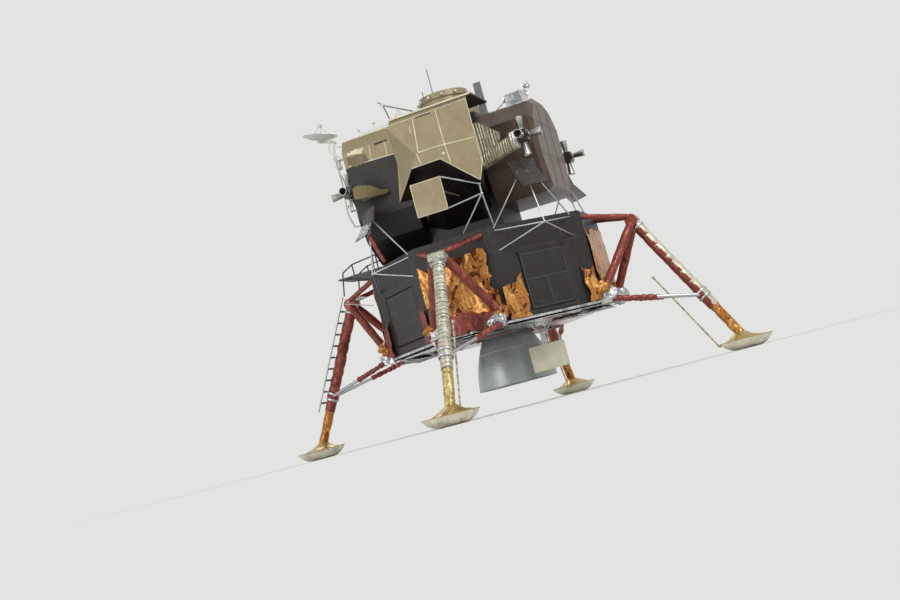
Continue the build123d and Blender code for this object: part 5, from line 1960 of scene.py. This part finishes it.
    def booms(self) -> None:
        """Wrap the four booms and hang the pleated film of the gussets."""
        for name, sign in SIDES.items():
            aft = [(1.5060, 0.84, 4.325, 0.316, 0.192), (1.6660, 1.50, 4.475, 0.172, 0.238)]
            self.fit(self.sleeve(f"aft_boom_wrap_{name}", aft, sign, 0.010, 0.050, 501), Finish.PLEATED_FILM,
                     "film_tan")
            cuff = [(1.6760, 1.46, 4.487, 0.170, 0.240), (1.6800, 1.585, 4.495, 0.150, 0.250)]
            self.fit(self.sleeve(f"aft_boom_cuff_{name}", cuff, sign, 0.026, 0.042, 502), Finish.CUFF_FILM,
                     "foil_silver")
            self.fit(self.wedge(f"forward_boom_cover_{name}", sign), Finish.TAN_SHEET, "film_tan")
            for hung, face, out in (("outer", 1.6402, 1), ("inner", 1.4198, -1)):
                curtain = sheet(f"gusset_film_{name}_{hung}", [
                    (0.715, 5.04), (0.96, 4.985), (1.215, 4.75), (1.165, 4.45), (1.08, 4.35), (0.715, 4.32)],
                                0.011, 0.005, 0.012, 511)
                for vertex in curtain.data.vertices:
                    sway = 0.25 * math.sin(4 * vertex.co.y)
                    vertex.co.z += 0.011 * abs(math.sin(math.pi * (vertex.co.x + 0.03 * sway) / 0.055))
                fold(curtain, (0.07, 0.008, 512))
                side_on(curtain, sign * face, sign * out)
                smooth(curtain, 22)
                self.fit(curtain, Finish.PLEATED_FILM, "film_tan")

    def wedge(self, name: str, sign: int) -> Piece:
        """Model the flat film-faced cover on a forward boom's outer side.

        Args:
            name: The piece's name.
            sign: 1 to port, -1 to starboard.

        Returns:
            The cover.
        """
        outline = [(0.0, 0.10), (0.10, 0.135), (0.36, 0.12), (0.72, -0.03), (0.70, -0.055), (0.0, -0.115)]
        piece = sheet(name, outline, 0.012, 0.010, 0.004, 503)
        fold(piece, (0.16, 0.012, 504))
        start, end = Vector((sign * 1.758, -1.60, 4.467)), Vector((sign * 1.182, -1.12, 4.447))
        along = end - start
        out = Vector((along.y, -along.x, 0)) * sign
        settle(piece, facing(start + out.normalized() * 0.012, along, out))
        if sign < 0:
            outward(piece)
        smooth(piece, 20)
        return piece

    def quads(self) -> None:
        """Add the rolled rims and clamp bands of the sixteen thruster bells."""
        for name, x_sign, y_sign in (("aft_port", 1, 1), ("forward_port", 1, -1), ("aft_starboard", -1, 1),
                                     ("forward_starboard", -1, -1)):
            centre = Vector((x_sign * 1.68, y_sign * 1.68, 4.52))
            parts = []
            for way in ((x_sign, 0, 0), (0, y_sign, 0), (0, 0, 1), (0, 0, -1)):
                out = Vector(way)
                for reach, radius, section in ((0.337, 0.0725, 0.0045), (0.125, 0.046, 0.006)):
                    spot = centre + out * reach
                    place = between(spot - out * 0.01, spot + out * 0.01)
                    parts.append(hoop("rim", place, radius, section, 1.2, 36, 8))
            self.fit(merge(f"bell_rims_{name}", parts), Finish.ALUMINIUM, "bare_metal")

    def shield_plate(self) -> None:
        """Add the edge tapes of the square shield plate."""
        x = self.port_x + 0.0002
        edges = [((x, -0.28, z), (x, 0.28, z)) for z in (3.57, 4.145)]
        edges += [((x, y, 3.57), (x, y, 4.145)) for y in (-0.28, 0.28)]
        self.fit(strips("shield_plate_edges", edges, (1, 0, 0), 0.012, 0.003), Finish.PALE_TAPE, "film_tan")
        high, low = (2.330, 0.885, 3.840), (2.280, 0.870, 3.680)
        parts = []
        for start, end, skip in ((high, (2.464, 0.275, 4.140), 0.03), (high, low, 0.0),
                                 (low, (2.464, 0.275, 3.575), 0.03), (low, (1.890, 0.820, 3.135), 0.02),
                                 (low, (2.000, 0.280, 3.135), 0.02)):
            run = Vector(end) - Vector(start)
            stop = Vector(end) - run.normalized() * skip
            parts.append(rod("sleeve", [start, stop], 0.0146, 14))
        for place in (high, low):
            parts.append(lump("joint", place, (0.026, 0.026, 0.026), 0.002, 601))
        self.fit(merge("shield_rod_sleeves", parts), Finish.ALUMINIUM, "bare_metal")

    def red_sleeve(self) -> None:
        """Add the short red-wrapped tube beside the forward port truss."""
        start, end = (1.60, -1.57, 3.69), (1.60, -1.39, 3.14)
        piece = tube("truss_red_sleeve", start, end, 0.036, 60, 20)
        gather(piece, 0.09, 0.006, 611)
        crumple(piece, 0.07, 0.012, 612)
        settle(piece, between(start, end))
        smooth(piece, 24)
        self.fit(piece, Finish.RED_FILM, "wrap_red")


@dataclass
class Aerials(Maker):
    """Ribs, rims and wraps of the dish aerials and the tracking light.

    Attributes:
        dish: The radar dish's centre.
        dish_out: The way that it faces.
        dish_r: Its radius.
        steer: The steerable dish's pivot.
        steer_r: Its radius.
    """

    dish: Point = (0.0, -2.630, 6.130)
    dish_out: Point = (0.0, 0.235, 0.972)
    dish_r: float = 0.335
    steer: Point = (-1.250, -1.150, 6.110)
    steer_r: float = 0.330

    def build(self) -> None:
        """Dress the aerials and add their ribs, rims and bands."""
        self.paint(Finish.WHITE_PAINT, "radar_dish", "steerable_dish", "radar_yoke",
                   "steerable_mast", "steerable_yoke", "radar_mount")
        self.paint(Finish.GLASS, "tracking_light")
        radar = facing(self.dish, (1, 0, 0), self.dish_out)
        steerable = facing(self.steer, (1, 0, 0), (0, -1, 0))
        self.dish_back("radar_dish", radar, 0.001, self.dish_r, 0.008,
                       [(0.08, 0, -0.080), (0.19, 0, -0.064), (0.325, 0, -0.010)])
        self.dish_back("steerable_dish", steerable, 0.184, self.steer_r - 0.002, 0.007,
                       [(0.06, 0, 0.080), (0.19, 0, 0.101), (0.318, 0, 0.176)])
        feed = []
        base = Vector(self.steer) + Vector((0, -0.10, 0))
        for number in range(3):
            angle = math.radians(90 + 120 * number)
            foot = base + Vector((0.17 * math.cos(angle), -0.01, 0.17 * math.sin(angle)))
            feed.append(rod("strut", [foot, base + Vector((0, -0.20, 0))], 0.005, 8))
        horn = tube("horn", (0, 0, 0), (0, 0, 0.06), 0.03, 2, 20)
        settle(horn, between(base + Vector((0, -0.17, 0)), base + Vector((0, -0.23, 0))))
        feed.append(horn)
        self.fit(merge("steerable_dish_feed", feed), Finish.WHITE_PAINT, "dish_white", "steerable_dish")
        knobs = [lump("knob", (2.4, -0.41, 5.655), (0.032, 0.032, 0.032), 0.006, 711),
                 lump("knob", (2.4, -0.49, 5.74), (0.022, 0.022, 0.022), 0.004, 712)]
        self.fit(merge("fork_joints", knobs), Finish.WHITE_PAINT, "dish_white")
        bands = [hoop("band", Matrix.Translation((-1.25, -1.15, z)), 0.041, 0.004, 2.0, 32, 8)
                 for z in (5.62, 5.76, 5.90)]
        self.fit(merge("steerable_mast_bands", bands), Finish.DARK_METAL, "bare_metal")

    def dish_back(self, dish: str, place: Matrix, level: float, radius: float, section: float,
                  spots: list[Point]) -> None:
        """Add a dish's rolled rim and the eight ribs on its back.

        Args:
            dish: The dish's name.
            place: The dish's placement.
            level: Where its rim is along its axis.
            radius: The rim's radius.
            section: The radius of the rim's section.
            spots: The points that a rib passes, round the dish's own axis.
        """
        rim = hoop(f"{dish}_rim", place @ Matrix.Translation((0, 0, level)), radius, section, 1.0, 96, 8)
        self.fit(rim, Finish.ALUMINIUM, "bare_metal", dish)
        ribs = []
        for number in range(8):
            turn = place @ Matrix.Rotation(math.radians(45 * number), 4, "Z")
            ribs.append(rod("rib", [turn @ Vector(spot) for spot in spots], 0.005, 8))
        self.fit(merge(f"{dish}_ribs", ribs), Finish.WHITE_PAINT, "dish_white", dish)


@dataclass
class Studio:
    """The floor, the lamps, the world and the camera.

    Attributes:
        eye: The camera's place, at floor level and on the photograph's line of sight.
        right: The direction of the picture's right side.
        up: The direction of the picture's top.
        lens: The focal length on a 36 mm sensor.
        backdrop: The backdrop's colour.
    """

    eye: Point = (23.191, 6.519, 0.06)
    right: Point = (-0.31657, 0.91432, -0.25260)
    up: Point = (0.00719, 0.26860, 0.96323)
    lens: float = 51.44
    backdrop: str = "e3e3e1"

    def build(self) -> None:
        """Build the studio."""
        scene = bpy.context.scene
        scene.view_settings.view_transform = "Standard"
        self.camera(scene)
        self.floor()
        self.world(scene)
        self.lamp("key_lamp", (9.0, 10.0, 13.0), 1250.0, 6.0)
        self.lamp("fill_lamp", (14.0, -9.0, 6.0), 520.0, 7.0)
        self.lamp("back_lamp", (-9.0, -6.0, 11.0), 600.0, 6.0)

    def camera(self, scene: bpy.types.Scene) -> None:
        """Set the camera as the photograph's, but at floor level.

        Args:
            scene: The scene.
        """
        data = bpy.data.cameras.new("camera")
        data.lens = self.lens
        data.clip_end = 400.0
        camera = bpy.data.objects.new("camera", data)
        scene.collection.objects.link(camera)
        x_axis, y_axis = Vector(self.right).normalized(), Vector(self.up).normalized()
        z_axis = x_axis.cross(y_axis)
        turn = Matrix((x_axis, y_axis, z_axis)).transposed().to_4x4()
        camera.matrix_world = Matrix.Translation(Vector(self.eye)) @ turn
        scene.camera = camera

    def seen(self, add: Add) -> Node:
        """Return the node that is 1 to the camera and in reflections."""
        path = add("LightPath").outputs
        return add("Math", {"operation": "MAXIMUM", 0: path["Is Camera Ray"], 1: path["Is Glossy Ray"]})

    def floor(self) -> None:
        """Lay a wide pale floor, which runs out into the backdrop's colour away from the lander."""
        plane = shape("floor", "plane", size=300.0)
        material, shader, place, add = Coat("pale_floor_paint", 0.0, 0.8).blank()
        mottle = add("TexNoise", {"Vector": place, "Scale": 0.6, "Detail": 3.0})
        shade = add("ValToRGB", {"Fac": mottle, "stops": [(0.3, "dcdbd8"), (0.7, "e0dfdc")]})
        wire(shader, {"Base Color": shade})
        far = add("VectorMath", {"operation": "LENGTH", 0: place}).outputs["Value"]
        fade = add("MapRange", {
            "interpolation_type": "SMOOTHSTEP", "Value": far, "From Min": 5.0, "From Max": 11.0})
        share = add("Math", {"operation": "MULTIPLY", 0: self.seen(add), 1: fade})
        shown = add("Emission", {"Color": to_linear(self.backdrop), "Strength": 1.0})
        mix = add("MixShader", {0: share, 1: shader, 2: shown})
        wire(material.node_tree.nodes["Material Output"], {"Surface": mix})
        plane.data.materials.append(material)

    def world(self, scene: bpy.types.Scene) -> None:
        """Light the scene evenly, with a pale background to the camera and in reflections.

        Args:
            scene: The scene.
        """
        world = bpy.data.worlds.new("studio")
        world.use_nodes = True
        tree = world.node_tree
        tree.nodes.clear()
        add = partial(add_node, tree)
        through = add("LightPath").outputs["Is Transmission Ray"]
        both = add("Math", {"operation": "MAXIMUM", 0: self.seen(add), 1: through})
        soft = add("Background", {"Color": to_linear("f4f6fa"), "Strength": 0.55})
        shown = add("Background", {"Color": to_linear(self.backdrop), "Strength": 1.0})
        add("OutputWorld", {"Surface": add("MixShader", {0: both, 1: soft, 2: shown})})
        scene.world = world

    def lamp(self, name: str, place: Point, power: float, size: float) -> None:
        """Add a soft area lamp that looks at the lander.

        Args:
            name: The lamp's name.
            place: Where it hangs.
            power: Its power in watts.
            size: The side of its square.
        """
        data = bpy.data.lights.new(name, "AREA")
        data.energy = power
        data.size = size
        lamp = bpy.data.objects.new(name, data)
        bpy.context.scene.collection.objects.link(lamp)
        turn = (Vector((0, 0, 3.0)) - Vector(place)).to_track_quat("-Z", "Y").to_matrix().to_4x4()
        lamp.matrix_world = Matrix.Translation(place) @ turn


def main() -> None:
    """Build the looks of the lander, sub-assembly by sub-assembly."""
    logging.basicConfig(level=logging.INFO, format="%(message)s")
    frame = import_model()
    paints = Paintshop()
    Studio().build()
    LandingGear(frame["nodes"], paints).build()
    DescentStage(frame["nodes"], paints).build()
    AscentStage(frame["nodes"], paints).build()
    Aerials(frame["nodes"], paints).build()


if __name__ == "__main__":
    main()
